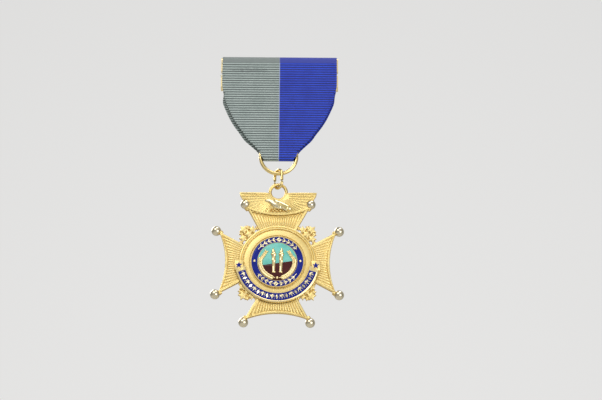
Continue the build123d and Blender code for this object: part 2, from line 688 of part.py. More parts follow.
with BuildPart() as banner:
    with BuildSketch(cross_plane.offset(rim)):
        Circle(banner_outer_r)
        Circle(banner_inner_r, mode=Mode.SUBTRACT)
        Polygon(*upper_part(BANNER_END), align=None, mode=Mode.SUBTRACT)
        with Locations(*plaque_places):
            Rectangle(PLAQUE_WIDTH, PLAQUE_HEIGHT)
    extrude(amount=BANNER_THICK)
    with BuildSketch(cross_plane.offset(banner_floor)):
        add(banner_channel.sketch)
        add(plaque_stars.sketch)
    extrude(amount=BANNER_RECESS, mode=Mode.SUBTRACT)
banner.part.label = "banner"
export_step(banner.part, "parts/banner.step")

with BuildPart() as banner_enamel:
    with BuildSketch(cross_plane.offset(banner_floor)):
        add(banner_channel.sketch)
    extrude(amount=BANNER_RECESS - ENAMEL_DROP)
banner_enamel.part.label = "banner_enamel"
export_step(banner_enamel.part, "parts/banner_enamel.step")

with BuildPart() as star_enamels:
    with BuildSketch(cross_plane.offset(banner_floor)):
        add(plaque_stars.sketch)
    extrude(amount=BANNER_RECESS - ENAMEL_DROP)
star_enamels.part.label = "star_enamels"
export_step(star_enamels.part, "parts/star_enamels.step")

with BuildPart() as banner_posts:
    with BuildSketch(cross_plane.offset(back)):
        with Locations(*banner_post_places):
            Circle(POST_R)
    extrude(amount=rim - back)
banner_posts.part.label = "banner_posts"
export_step(banner_posts.part, "parts/banner_posts.step")
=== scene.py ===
import json
import math
import random

import bmesh
import bpy
from mathutils import Matrix, Vector
from mathutils.geometry import tessellate_polygon


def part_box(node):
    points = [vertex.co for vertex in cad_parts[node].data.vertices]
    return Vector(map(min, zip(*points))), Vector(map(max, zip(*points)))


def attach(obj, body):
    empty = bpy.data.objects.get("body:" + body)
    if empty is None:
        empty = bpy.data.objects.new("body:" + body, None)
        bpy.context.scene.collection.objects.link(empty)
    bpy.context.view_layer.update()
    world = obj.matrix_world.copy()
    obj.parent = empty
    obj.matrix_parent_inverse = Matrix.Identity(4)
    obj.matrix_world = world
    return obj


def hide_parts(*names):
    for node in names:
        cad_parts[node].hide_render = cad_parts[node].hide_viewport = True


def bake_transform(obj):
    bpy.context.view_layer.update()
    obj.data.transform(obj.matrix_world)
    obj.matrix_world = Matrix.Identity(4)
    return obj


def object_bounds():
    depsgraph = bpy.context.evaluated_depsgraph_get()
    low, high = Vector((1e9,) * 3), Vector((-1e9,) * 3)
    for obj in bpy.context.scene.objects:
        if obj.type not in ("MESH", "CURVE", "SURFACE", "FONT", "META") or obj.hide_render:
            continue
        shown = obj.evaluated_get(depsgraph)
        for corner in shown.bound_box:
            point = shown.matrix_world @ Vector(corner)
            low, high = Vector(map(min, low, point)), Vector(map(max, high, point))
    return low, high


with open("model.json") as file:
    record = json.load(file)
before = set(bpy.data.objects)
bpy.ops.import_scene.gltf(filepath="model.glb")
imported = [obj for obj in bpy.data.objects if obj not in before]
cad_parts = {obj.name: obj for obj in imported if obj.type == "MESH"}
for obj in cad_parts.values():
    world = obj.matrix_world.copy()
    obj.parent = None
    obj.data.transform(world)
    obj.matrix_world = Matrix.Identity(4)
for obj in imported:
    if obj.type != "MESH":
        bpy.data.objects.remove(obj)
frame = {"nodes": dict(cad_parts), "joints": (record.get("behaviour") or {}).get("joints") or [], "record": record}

cad_low, cad_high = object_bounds()
MM = 0.001
TAU = 2 * math.pi

# ------------------------------------------------------------------ places taken from the frame
joints = {j["name"]: Vector(j["pos_m"]) / MM for j in frame["joints"]}
mounts = {m["name"]: Vector(m["pos_m"]) / MM for m in frame["record"]["mounts"]}


def node_box(node):
    """Lowest and highest corner of a CAD node in millimetres."""
    low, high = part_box(node)
    return low / MM, high / MM


def node_size(node):
    low, high = node_box(node)
    return high - low


def depths(node):
    """How far a node's back and its face are in front of the plane that the rings hang in."""
    low, high = node_box(node)
    return chain_y - high.y, chain_y - low.y


ring_centre = joints["ring_turn"]
chain_y = ring_centre.y
cross_centre = Vector((0, chain_y, mounts["pendant_back"].z))
cross_back = chain_y - mounts["pendant_back"].y
seal_radius = node_size("seal_plate").x / 2
seal_base, seal_face = depths("seal_plate")
banner_base, banner_face = depths("banner")
ring_wire = node_size("suspension_ring").y / 2
ring_radius = node_size("suspension_ring").x / 2 - ring_wire
ball_radius = node_size("ball_finials").y / 2


def on_cross(p):
    """A point given right of, above and in front of the cross's middle, in the row frame's metres."""
    x, y, d = p
    return Vector((x, chain_y - d, cross_centre.z + y)) * MM


def in_row(p):
    return Vector(p) * MM


def polar(radius, degrees):
    t = math.radians(degrees)
    return radius * math.cos(t), radius * math.sin(t)


def star_outline(x, y, radius, waist=0.42, tilt=0.0):
    corners = (polar((radius, radius * waist)[k % 2], 90 + tilt + 36 * k) for k in range(10))
    return [(x + out, y + up) for out, up in corners]


# ------------------------------------------------------------------ camera, light and floor
def aim(obj, target, roll=0.0):
    way = Vector(target) - obj.location
    obj.rotation_mode = "QUATERNION"
    obj.rotation_quaternion = way.to_track_quat("-Z", "Y") @ Matrix.Rotation(roll, 4, "Z").to_quaternion()


CAMERA_TILT, CAMERA_ROLL = math.radians(19.03), math.radians(0.43)
CAMERA_DISTANCE = 0.5459
AIM_ASIDE, AIM_BEHIND, AIM_ABOVE = 0.00682, 0.002, 0.02039  # from the cross's middle
LENS, SENSOR = 108.97, 36.0


def make_camera():
    """Looks up at the medal from in front of its foot, as over the foot of an open case."""
    aimed_at = Vector((AIM_ASIDE, chain_y * MM + AIM_BEHIND, cross_centre.z * MM + AIM_ABOVE))
    data = bpy.data.cameras.new("camera")
    data.lens, data.sensor_width = LENS, SENSOR
    data.clip_start, data.clip_end = 0.01, 20.0
    camera = bpy.data.objects.new("camera", data)
    bpy.context.collection.objects.link(camera)
    way = Vector((0, -math.cos(CAMERA_TILT), -math.sin(CAMERA_TILT)))
    camera.location = aimed_at + CAMERA_DISTANCE * way
    aim(camera, aimed_at, CAMERA_ROLL)
    bpy.context.scene.camera = camera


def area_light(name, place, size, power, colour, target):
    data = bpy.data.lights.new(name, "AREA")
    data.shape, data.size, data.size_y = "RECTANGLE", size[0], size[1]
    data.energy, data.color = power, colour
    light = bpy.data.objects.new(name, data)
    bpy.context.collection.objects.link(light)
    light.location = place
    aim(light, target)


# ------------------------------------------------------------------ node maths
class Val:
    """A node socket that takes part in Python sums."""

    def __init__(self, tree, socket):
        self.tree, self.socket = tree, socket

    def _sum(self, operation, *others):
        return node(self.tree, "ShaderNodeMath", {"operation": operation}, (self, *others))

    def __add__(self, other):
        return self._sum("ADD", other)

    __radd__ = __add__

    def __mul__(self, other):
        return self._sum("MULTIPLY", other)

    __rmul__ = __mul__

    def __sub__(self, other):
        return self._sum("SUBTRACT", other)

    def __rsub__(self, other):
        return self._sum("MULTIPLY", -1.0)._sum("ADD", other)

    def __truediv__(self, other):
        return self._sum("DIVIDE", other)

    def clamp(self):
        return self._sum("MAXIMUM", 0.0)._sum("MINIMUM", 1.0)

    def wave(self):
        """One swing from 0 to 1 and back for each whole step."""
        return (self * TAU)._sum("COSINE") * -0.5 + 0.5

    def step(self, low, high):
        """0 under low, 1 over high, smooth between."""
        return node(
            self.tree,
            "ShaderNodeMapRange",
            {"interpolation_type": "SMOOTHSTEP"},
            {"Value": self, "From Min": low, "From Max": high},
        )


def node(tree, kind, settings=None, values=None, out=0):
    """Any node: its settings first, then values or links for its sockets by name or in order."""
    made = tree.nodes.new(kind)
    for key, value in (settings or {}).items():
        setattr(made, key, value)
    pairs = values.items() if isinstance(values, dict) else enumerate(values or ())
    for key, value in pairs:
        socket = made.inputs[key]
        if isinstance(value, Val):
            tree.links.new(value.socket, socket)
        elif isinstance(value, tuple) and len(value) == 3 and socket.type == "RGBA":
            socket.default_value = (*value, 1)
        else:
            socket.default_value = value
    return Val(tree, made.outputs[out])


def mix(tree, amount, first, second):
    """Colour between first and second."""
    return node(tree, "ShaderNodeMix", {"data_type": "RGBA"}, {0: amount, 6: first, 7: second}, out=2)


def noise(tree, where, scale, detail=3.0, roughness=0.55):
    values = {"Vector": where, "Scale": scale, "Detail": detail, "Roughness": roughness}
    return node(tree, "ShaderNodeTexNoise", {}, values)


def bump(tree, height, strength, distance):
    values = {"Height": height, "Strength": strength, "Distance": distance}
    return node(tree, "ShaderNodeBump", {}, values)


def place_of(tree, stretch=(1.0, 1.0, 1.0)):
    """Object coordinates, stretched."""
    where = node(tree, "ShaderNodeTexCoord", out=3)
    return node(tree, "ShaderNodeMapping", {}, {"Vector": where, "Scale": stretch})


def parted(tree, vector, axis):
    return node(tree, "ShaderNodeSeparateXYZ", {}, (vector,), out="XYZ".index(axis))


def new_material(name, constants):
    material = bpy.data.materials.new(name)
    material.use_nodes = True
    shader = material.node_tree.nodes["Principled BSDF"]
    for key, value in constants.items():
        shader.inputs[key].default_value = (*value, 1) if isinstance(value, tuple) else value
    return material, material.node_tree, shader


def feed(tree, shader, **links):
    for key, value in links.items():
        tree.links.new(value.socket, shader.inputs[key.replace("_", " ")])


def light_room():
    """Soft lamps above and in front, and a pale room, brighter before and behind the medal than beside."""
    middle = Vector((0, 0, (cad_low.z + cad_high.z) / 2))
    area_light("window", (-0.30, -0.60, 0.42), (0.55, 0.45), 1.6, (1.0, 0.985, 0.96), middle)
    area_light("ceiling", (0.22, -0.20, 0.80), (0.6, 0.4), 2.3, (1.0, 0.98, 0.95), middle)
    area_light("low_fill", (0.38, -0.60, -0.26), (0.5, 0.5), 2.4, (0.97, 0.985, 1.0), middle)
    area_light("rear", (-0.45, 0.60, 0.45), (0.5, 0.5), 4.0, (1.0, 0.99, 0.97), middle)
    room = bpy.data.worlds.new("pale_room")
    bpy.context.scene.world = room
    room.use_nodes = True
    tree = room.node_tree
    way = node(tree, "ShaderNodeTexCoord", out=0)
    along, up = parted(tree, way, "Y"), parted(tree, way, "Z")
    level = ((along * along) * 0.50 + up.step(-0.2, 0.9) * 0.10 + 0.28)._sum("MINIMUM", 0.80)
    shade_of = mix(tree, level, (0.0, 0.0, 0.0), (1.0, 0.995, 0.985))
    background = tree.nodes["Background"]
    tree.links.new(shade_of.socket, background.inputs["Color"])
    background.inputs["Strength"].default_value = 1.0


make_camera()
light_room()
bpy.context.scene.view_settings.view_transform = "Standard"

# ------------------------------------------------------------------ metals and enamels
def struck_gilt():
    """Matt gilding with a fine blasted grain, and painted shade that browns the hollows of the relief."""
    material, tree, shader = new_material("struck_gilt", {"Metallic": 1.0})
    where = place_of(tree)
    grain = noise(tree, where, 9000.0, 4.0, 0.6)
    cloud = noise(tree, where, 260.0, 3.0)
    depth = parted(tree, where, "Y") * -1000.0 + chain_y
    # painted shade: the colour browns below the arms' field, standing in for the shade in the relief's hollows
    recess_shade = 1 - depth.step(cross_back + 1.04, cross_back + 1.22)
    tone = mix(tree, cloud.step(0.35, 0.7), (0.86, 0.67, 0.27), (0.92, 0.74, 0.33))
    colour = mix(tree, recess_shade * 0.75, tone, (0.64, 0.40, 0.10))
    feed(
        tree,
        shader,
        Base_Color=colour,
        Roughness=cloud * 0.08 + grain * 0.06 + 0.36,
        Normal=bump(tree, grain, 0.10, 0.00002),
    )
    return material


def bright_gilt(name="bright_gilt", tint=(0.93, 0.76, 0.40), rough=0.10):
    """Gilding polished on the high places, with hairline scratches."""
    material, tree, shader = new_material(name, {"Metallic": 1.0})
    where = place_of(tree)
    cloud = noise(tree, where, 500.0, 2.0)
    hairs = noise(tree, place_of(tree, (1.0, 1.0, 14.0)), 1400.0, 5.0, 0.7)
    wear_and_shade = mix(tree, cloud.step(0.45, 0.75), tint, tuple(c * 0.93 for c in tint))
    feed(
        tree,
        shader,
        Base_Color=wear_and_shade,
        Roughness=hairs.step(0.45, 0.8) * 0.12 + rough,
        Normal=bump(tree, hairs, 0.10, 0.00001),
    )
    return material


def enamel(name, deep, light):
    """Hard enamel, stoned flat and polished, with faint clouds and pin-holes."""
    material, tree, shader = new_material(
        name, {"Coat Weight": 0.08, "Coat Roughness": 0.03, "Specular IOR Level": 0.20}
    )
    where = place_of(tree)
    cloud = noise(tree, where, 420.0, 4.0)
    pits = noise(tree, where, 5200.0, 1.0)
    feed(
        tree,
        shader,
        Base_Color=mix(tree, cloud.step(0.3, 0.75), deep, light),
        Roughness=cloud * 0.08 + 0.10,
        Normal=bump(tree, pits.step(0.70, 0.80) * -1.0 + cloud * 0.25, 0.25, 0.00002),
    )
    return material


STRUCK = struck_gilt()
BRIGHT = bright_gilt()
WIRE = bright_gilt("gilt_wire", (0.90, 0.70, 0.30), 0.13)
PALE = bright_gilt("pale_gilt", (0.90, 0.80, 0.52), 0.10)
# painted reflection: the balls get a paler, greyer tint than the other polished gilding, standing in for the dark
# and whitish reflections on them
BALL = bright_gilt("ball_gilt", (0.76, 0.68, 0.49), 0.05)
# painted shadow: a dim brown gilt used only for the dark rings under the perch's berries
PERCH_SHADE = bright_gilt("dark_gilt", (0.46, 0.25, 0.06), 0.38)
STEEL = bright_gilt("plated_pin", (0.78, 0.77, 0.74), 0.16)
BLUE = enamel("blue_enamel", (0.004, 0.010, 0.20), (0.008, 0.022, 0.28))
SKY = enamel("sky_enamel", (0.16, 0.55, 0.48), (0.23, 0.64, 0.56))
GROUND = enamel("ground_enamel", (0.055, 0.008, 0.008), (0.085, 0.014, 0.012))


# ------------------------------------------------------------------ mesh work
class Clay:
    """Corners and faces collected in millimetres before they become one mesh."""

    def __init__(self):
        self.points, self.faces = [], []

    def add(self, points, faces):
        first = len(self.points)
        self.points += [tuple(p) for p in points]
        self.faces += [tuple(first + i for i in face) for face in faces]
        return self

    def loft(self, points, wide, closed=False):
        """Joins rows of wide corners, with a cap at each end unless they come round again."""
        count = len(points) // wide
        faces = []
        for i in range(count if closed else count - 1):
            a, b = i * wide, (i + 1) % count * wide
            faces += [(a + k, b + k, b + (k + 1) % wide, a + (k + 1) % wide) for k in range(wide)]
        if not closed:
            faces += [tuple(range(wide)), tuple(range((count - 1) * wide, count * wide))[::-1]]
        return self.add(points, faces)

    def lathe(self, profile, steps=96, centre=(0.0, 0.0), start=0.0, sweep=360.0):
        """Turns a closed profile of (radius, forward) corners about an axis that points forward."""
        whole = sweep == 360.0
        points = []
        for i in range(steps if whole else steps + 1):
            for r, d in profile:
                x, y = polar(r, start + sweep * i / steps)
                points.append((centre[0] + x, centre[1] + y, d))
        return self.loft(points, len(profile), closed=whole)

    def tube(self, path, radius, sides=12, closed=False, squeeze=1.0):
        """A round bar along path; radius is a number or one for each point."""
        path = [Vector(p) for p in path]
        count = len(path)
        radii = radius if isinstance(radius, (list, tuple)) else [radius] * count
        points = []
        for i, p in enumerate(path):
            before = path[i - 1] if closed or i else p
            after = path[(i + 1) % count] if closed or i < count - 1 else p
            way = (after - before).normalized()
            side = way.cross(Vector((0, 0, 1)))
            side = side.normalized() if side.length > 1e-4 else Vector((1, 0, 0))
            up = side.cross(way).normalized() * squeeze
            for k in range(sides):
                t = TAU * k / sides
                points.append(p + radii[i] * (side * math.cos(t) + up * math.sin(t)))
        return self.loft(points, sides, closed)

    def slab(self, outline, low, high):
        """A flat plate of any outline, given anticlockwise, between two depths."""
        count = len(outline)
        points = [(x, y, low) for x, y in outline] + [(x, y, high) for x, y in outline]
        cap = tessellate_polygon([[Vector((x, y, 0)) for x, y in outline]])
        faces = []
        for a, b, c in cap:
            ax, ay, bx, by, cx, cy = *outline[a], *outline[b], *outline[c]
            if (bx - ax) * (cy - ay) - (by - ay) * (cx - ax) < 0:
                a, c = c, a
            faces += [(a + count, b + count, c + count), (c, b, a)]
        for i in range(count):
            n = (i + 1) % count
            faces.append((i, n, n + count, i + count))
        return self.add(points, faces)

    def star(self, x, y, radius, tilt, low, edge, top, waist=0.50):
        """A five-pointed star with a ridge to each point."""
        corners = star_outline(x, y, radius, waist, tilt)
        points = [(a, b, low) for a, b in corners] + [(a, b, edge) for a, b in corners]
        points += [(x, y, top), (x, y, low)]
        faces = []
        for k in range(10):
            n = (k + 1) % 10
            faces += [(k, n, n + 10, k + 10), (k + 10, n + 10, 20), (n, k, 21)]
        return self.add(points, faces)

    def finish(self, name, material, place=on_cross, smooth=35.0, bevel=0.0, levels=0):
        """Becomes one mesh object, with its place in its mesh."""
        mesh = bpy.data.meshes.new(name)
        mesh.from_pydata([place(p) for p in self.points], [], self.faces)
        mend(mesh, close=True)
        mesh.materials.append(material)
        piece = bpy.data.objects.new(name, mesh)
        bpy.context.collection.objects.link(piece)
        if bevel:
            edge = piece.modifiers.new("edge", "BEVEL")
            edge.width, edge.segments, edge.limit_method = bevel * MM, 2, "ANGLE"
            edge.angle_limit = math.radians(40)
        if levels:
            soft = piece.modifiers.new("soft", "SUBSURF")
            soft.levels = soft.render_levels = levels
        if bevel or levels:
            settle(piece)
        shade(piece.data, smooth)
        return piece


def mend(mesh, close=False):
    """Turns the faces outwards, and closes the poles first where asked."""
    work = bmesh.new()
    work.from_mesh(mesh)
    if close:
        bmesh.ops.remove_doubles(work, verts=work.verts, dist=1e-8)
        bmesh.ops.delete(work, geom=[e for e in work.edges if not e.link_faces], context="EDGES")
    bmesh.ops.recalc_face_normals(work, faces=work.faces)
    work.to_mesh(mesh)
    work.free()


def shade(mesh, angle):
    mesh.shade_smooth()
    mesh.set_sharp_from_angle(angle=math.radians(angle))


def settle(piece):
    """The evaluated shape becomes the plain mesh, and the modifiers go."""
    bpy.context.view_layer.update()
    seen = piece.evaluated_get(bpy.context.evaluated_depsgraph_get())
    mesh = bpy.data.meshes.new_from_object(seen)
    piece.modifiers.clear()
    old = piece.data
    piece.data = mesh
    bpy.data.meshes.remove(old)
    mesh.name = piece.name


# ------------------------------------------------------------------ geometry nodes
def part_tree(name, sockets):
    tree = bpy.data.node_groups.new(name, "GeometryNodeTree")
    tree.is_modifier = True
    tree.interface.new_socket("Geometry", in_out="INPUT", socket_type="NodeSocketGeometry")
    for label, kind in sockets:
        tree.interface.new_socket(label, in_out="INPUT", socket_type=kind)
    tree.interface.new_socket("Geometry", in_out="OUTPUT", socket_type="NodeSocketGeometry")
    given = tree.nodes.new("NodeGroupInput")
    return tree, {s.name: Val(tree, s) for s in given.outputs if s.name}


def close_tree(tree, geometry, material):
    """Realize Instances and Set Material at the tree's end."""
    real = node(tree, "GeometryNodeRealizeInstances", {}, (geometry,))
    painted = node(tree, "GeometryNodeSetMaterial", {}, {"Geometry": real, "Material": material})
    tree.links.new(painted.socket, tree.nodes.new("NodeGroupOutput").inputs[0])


def repeat_tree():
    """Sets one part on every point, turned and sized by the points' own attributes."""
    sockets = [("Part", "NodeSocketObject"), ("Size", "NodeSocketFloat"), ("Finish", "NodeSocketMaterial")]
    tree, given = part_tree("repeat_part", sockets)
    part = node(tree, "GeometryNodeObjectInfo", {}, {"Object": given["Part"]}, out=4)
    turn, grow = (
        node(tree, "GeometryNodeInputNamedAttribute", {"data_type": "FLOAT_VECTOR"}, {"Name": name})
        for name in ("turn", "grow")
    )
    euler = node(tree, "FunctionNodeEulerToRotation", {}, (turn,))
    sizes = {"Vector": grow, "Scale": given["Size"]}
    scaled = node(tree, "ShaderNodeVectorMath", {"operation": "SCALE"}, sizes)
    values = {"Points": given["Geometry"], "Instance": part, "Rotation": euler, "Scale": scaled}
    placed = node(tree, "GeometryNodeInstanceOnPoints", {}, values)
    close_tree(tree, placed, given["Finish"])
    return tree


def run_tree(piece, tree, **values):
    """Runs a tree on piece with its inputs set by identifier, and settles the result."""
    modifier = piece.modifiers.new(tree.name, "NODES")
    modifier.node_group = tree
    names = {s.name: s.identifier for s in tree.interface.items_tree if s.in_out == "INPUT"}
    for key, value in values.items():
        modifier[names[key.replace("_", " ")]] = value
    piece.update_tag()
    settle(piece)


REPEAT = repeat_tree()


def repeated(name, part, spots, material, smooth=35.0, place=on_cross):
    """Copies part, a Clay about its own origin, to spots of (point, degrees, (long, wide, high))."""
    mesh = bpy.data.meshes.new(name + "_part")
    mesh.from_pydata([in_row((x, -d, y)) for x, y, d in part.points], [], part.faces)
    mend(mesh, close=True)
    shape = bpy.data.objects.new(name + "_part", mesh)
    points = bpy.data.meshes.new(name)
    points.from_pydata([place(p) for p, turn, grow in spots], [], [])
    turns = points.attributes.new("turn", "FLOAT_VECTOR", "POINT")
    grows = points.attributes.new("grow", "FLOAT_VECTOR", "POINT")
    for i, (p, turn, grow) in enumerate(spots):
        turns.data[i].vector = (0.0, -math.radians(turn), 0.0)
        grows.data[i].vector = (grow[0], grow[2], grow[1])
    piece = bpy.data.objects.new(name, points)
    bpy.context.collection.objects.link(piece)
    run_tree(piece, REPEAT, Part=shape, Size=1.0, Finish=material)
    bpy.data.objects.remove(shape)
    piece.data.materials.clear()
    piece.data.materials.append(material)
    mend(piece.data)
    shade(piece.data, smooth)
    return piece


# ------------------------------------------------------------------ ribbon
RIBBON_HALF = node_size("ribbon_wrap").x / 2
CLOTH = 0.30  # thickness
RIB_PITCH, RIB_RISE = 0.75, 0.085
ROWS_PER_RIB = 4
CREASE = 0.5  # length of cloth in a folded edge
FLAP_LEAST, FLAP_MOST = 0.6, 4.4
PLY = 1.0  # each ply's distance from the plane that the rings hang in
front_y, back_y = chain_y - PLY, chain_y + PLY
tuck_y = (node_box("brooch_tray")[1].y + node_box("clamp_plate")[0].y) / 2
brooch_low, brooch_high = node_box("brooch_tray")[0].z, node_box("brooch_tray")[1].z
fold_low = node_box("ribbon_drape")[0].z

# half the drape's width at each height
OUTLINE = (
    (brooch_low - 23.1, 4.1), (brooch_low - 22.0, 5.15), (brooch_low - 20.6, 5.75), (brooch_low - 19.5, 6.45),
    (brooch_low - 18.1, 7.7), (brooch_low - 16.3, 9.4), (brooch_low - 14.0, 10.95), (brooch_low - 11.7, 12.6),
    (brooch_low - 9.2, 14.05), (brooch_low - 6.5, 15.3), (brooch_low - 4.2, 16.2), (brooch_low - 1.8, 16.8),
    (brooch_low, 17.25), (brooch_low + 1.4, RIBBON_HALF), (brooch_high + 1.0, RIBBON_HALF),
)


def smooth(low, high, t):
    """0 at low, 1 at high, level at both."""
    s = min(max((t - low) / (high - low), 0.0), 1.0)
    return s * s * (3 - 2 * s)


def through(table, t):
    """The height at t of a rounded line through the table's points."""
    if t <= table[0][0]:
        return table[0][1]
    for i in range(len(table) - 1):
        (t0, a), (t1, b) = table[i], table[i + 1]
        if t <= t1:
            before = table[max(i - 1, 0)]
            after = table[min(i + 2, len(table) - 1)]
            span = t1 - t0
            rise0 = (b - before[1]) / (t1 - before[0]) * span
            rise1 = (after[1] - a) / (after[0] - t0) * span
            s = (t - t0) / span
            return (
                a * (2 * s**3 - 3 * s**2 + 1) + rise0 * (s**3 - 2 * s**2 + s)
                + b * (3 * s**2 - 2 * s**3) + rise1 * (s**3 - s**2)
            )
    return table[-1][1]


def ribbon_path():
    """The ribbon's middle line in side view: up behind the brooch, over, down, round the ring and back up."""
    roll = 1.15
    top = brooch_high + 0.22
    line = [(tuck_y, 0.9)]

    def bend(centre, radius, first, last, count=9):
        for i in range(count + 1):
            t = math.radians(first + (last - first) * i / count)
            line.append((centre[0] + radius * math.cos(t), centre[1] + radius * math.sin(t)))

    small = 0.45
    bend((tuck_y - small, top - small), small, 0, 90)
    bend((front_y + roll, top - roll), roll, 90, 180)
    bend((chain_y, fold_low + CLOTH / 2 + PLY), PLY, 180, 360, 14)
    for i in range(9):
        s = i / 8
        line.append((back_y + (tuck_y - back_y) * smooth(0, 1, s), brooch_low - 2.6 + 2.2 * s))
    line.append((tuck_y, -0.9))
    return [Vector(p) for p in line]


def evenly(line, step):
    """Points a fixed step apart along a line, each with its distance from the start."""
    made, run, want = [], 0.0, 0.0
    for a, b in zip(line, line[1:]):
        length = (b - a).length
        while want <= run + length and length:
            made.append((a.lerp(b, (want - run) / length), want))
            want += step
        run += length
    return made


def make_ribbon():
    """One sheet with its ribs, its rounded folded edges and the flaps turned in behind them."""
    wave = random.Random(4)
    ripple = [(wave.uniform(0.15, 0.35), wave.uniform(0, TAU), wave.uniform(0.02, 0.05)) for k in range(4)]
    rows = evenly(ribbon_path(), RIB_PITCH / ROWS_PER_RIB)
    last_front = max(i for i, (p, run) in enumerate(rows) if p.x < chain_y)
    inside, crease_steps, flap_steps = 20, 5, 5
    sheet, weave, area = [], [], 0.0
    for i, (p, run) in enumerate(rows):
        z = p.y
        front = i <= last_front
        ahead, behind = rows[min(i + 1, len(rows) - 1)][0], rows[max(i - 1, 0)][0]
        way = (ahead - behind).normalized()
        inward = Vector((0, -way.y, way.x))
        under = z - brooch_low
        half = through(OUTLINE, z)
        fold = math.pi * smooth(-0.4, -3.4, under) * (1 - smooth(-18.9, -20.9, under)) if front else 0.0
        spare = RIBBON_HALF - half - CREASE
        flap = max(FLAP_LEAST, min(FLAP_MOST, spare)) if front else FLAP_LEAST
        flap = FLAP_LEAST + (flap - FLAP_LEAST) * (1 - smooth(-15.6, -18.6, under))
        shown = under < 0
        line, names = [], []
        for side in (-1, 1):
            out = half
            if not front and shown:
                peek = (0.95, 0.4)[side > 0]
                out += peek * smooth(-22.5, -15.0, under) * (1 - smooth(-4.5, -0.5, under))
            bend = CREASE / fold if fold > 0.02 else 0.0
            if bend:
                reach = bend * math.sin(min(fold, math.pi / 2)) + max(0.0, math.cos(fold)) * flap
            else:
                reach = CREASE + flap
            straight = out - reach
            half_line, half_names = [], []
            for j in range(1 if side > 0 else 0, inside + 1):
                half_line.append((straight * j / inside, 0.0))
                half_names.append(straight * j / inside)
            for k in range(1, crease_steps + 1):
                share = k / crease_steps
                if bend:
                    t = fold * share
                    half_line.append((straight + bend * math.sin(t), bend * (1 - math.cos(t))))
                else:
                    half_line.append((straight + CREASE * share, 0.0))
                half_names.append(straight + CREASE * share)
            end = half_line[-1]
            for m in range(1, flap_steps + 1):
                share = flap * m / flap_steps
                half_line.append((end[0] + math.cos(fold) * share, end[1] + math.sin(fold) * share))
                half_names.append(straight + CREASE + share)
            area += (straight + CREASE + flap) * RIB_PITCH / ROWS_PER_RIB
            if side < 0:
                line = [(-x, d) for x, d in reversed(half_line)]
                names = [-s for s in reversed(half_names)]
            else:
                line += half_line
                names += half_names
        sway = sum(h * math.sin(f * z + g) for f, g, h in ripple) * smooth(-1, -8, z - brooch_low)
        for x, d in line:
            crown = 0.10 * (1 - (x / half) ** 2) * smooth(0, -6, under) * smooth(-22.5, -16, under)
            lift = inward * (d - (crown if front else crown * 0.4) + sway * x / RIBBON_HALF * 0.5)
            sheet.append(Vector((x, p.x, p.y)) + lift)
        weave += [(s, run, 1.0 if front else 0.0) for s in names]
    wide = len(sheet) // len(rows)
    outer, inner = [], []
    for i, (p, run) in enumerate(rows):
        rolled = smooth(brooch_high - 2.1, brooch_high - 1.8, p.y)
        rib = RIB_RISE * (0.5 - 0.5 * math.cos(TAU * run / RIB_PITCH)) * (1 - 0.9 * rolled)
        for j in range(wide):
            along = sheet[min(i + 1, len(rows) - 1) * wide + j] - sheet[max(i - 1, 0) * wide + j]
            across = sheet[i * wide + min(j + 1, wide - 1)] - sheet[i * wide + max(j - 1, 0)]
            out = along.cross(across).normalized() * (CLOTH / 2 - rib)
            outer.append(sheet[i * wide + j] + out)
            inner.append(sheet[i * wide + j] - out)
    count = len(outer)
    points, faces = outer + inner, []
    for i in range(len(rows) - 1):
        for j in range(wide - 1):
            a = i * wide + j
            quad = (a, a + 1, a + wide + 1, a + wide)
            faces.append(quad)
            faces.append(tuple(count + k for k in reversed(quad)))
    rim = [(i * wide, (i + 1) * wide) for i in range(len(rows) - 1)]
    rim += [((i + 1) * wide + wide - 1, i * wide + wide - 1) for i in range(len(rows) - 1)]
    rim += [(j + 1, j) for j in range(wide - 1)]
    rim += [((len(rows) - 1) * wide + j, (len(rows) - 1) * wide + j + 1) for j in range(wide - 1)]
    faces += [(b, a, a + count, b + count) for a, b in rim]
    clay = Clay().add(points, faces)
    piece = clay.finish("ribbon", RIBBON, place=in_row, smooth=80)
    threads = piece.data.attributes.new("weave", "FLOAT_VECTOR", "POINT")
    for k, value in enumerate(weave + weave):
        threads.data[k].vector = value
    return piece, rows[-1][1], area / 1e6


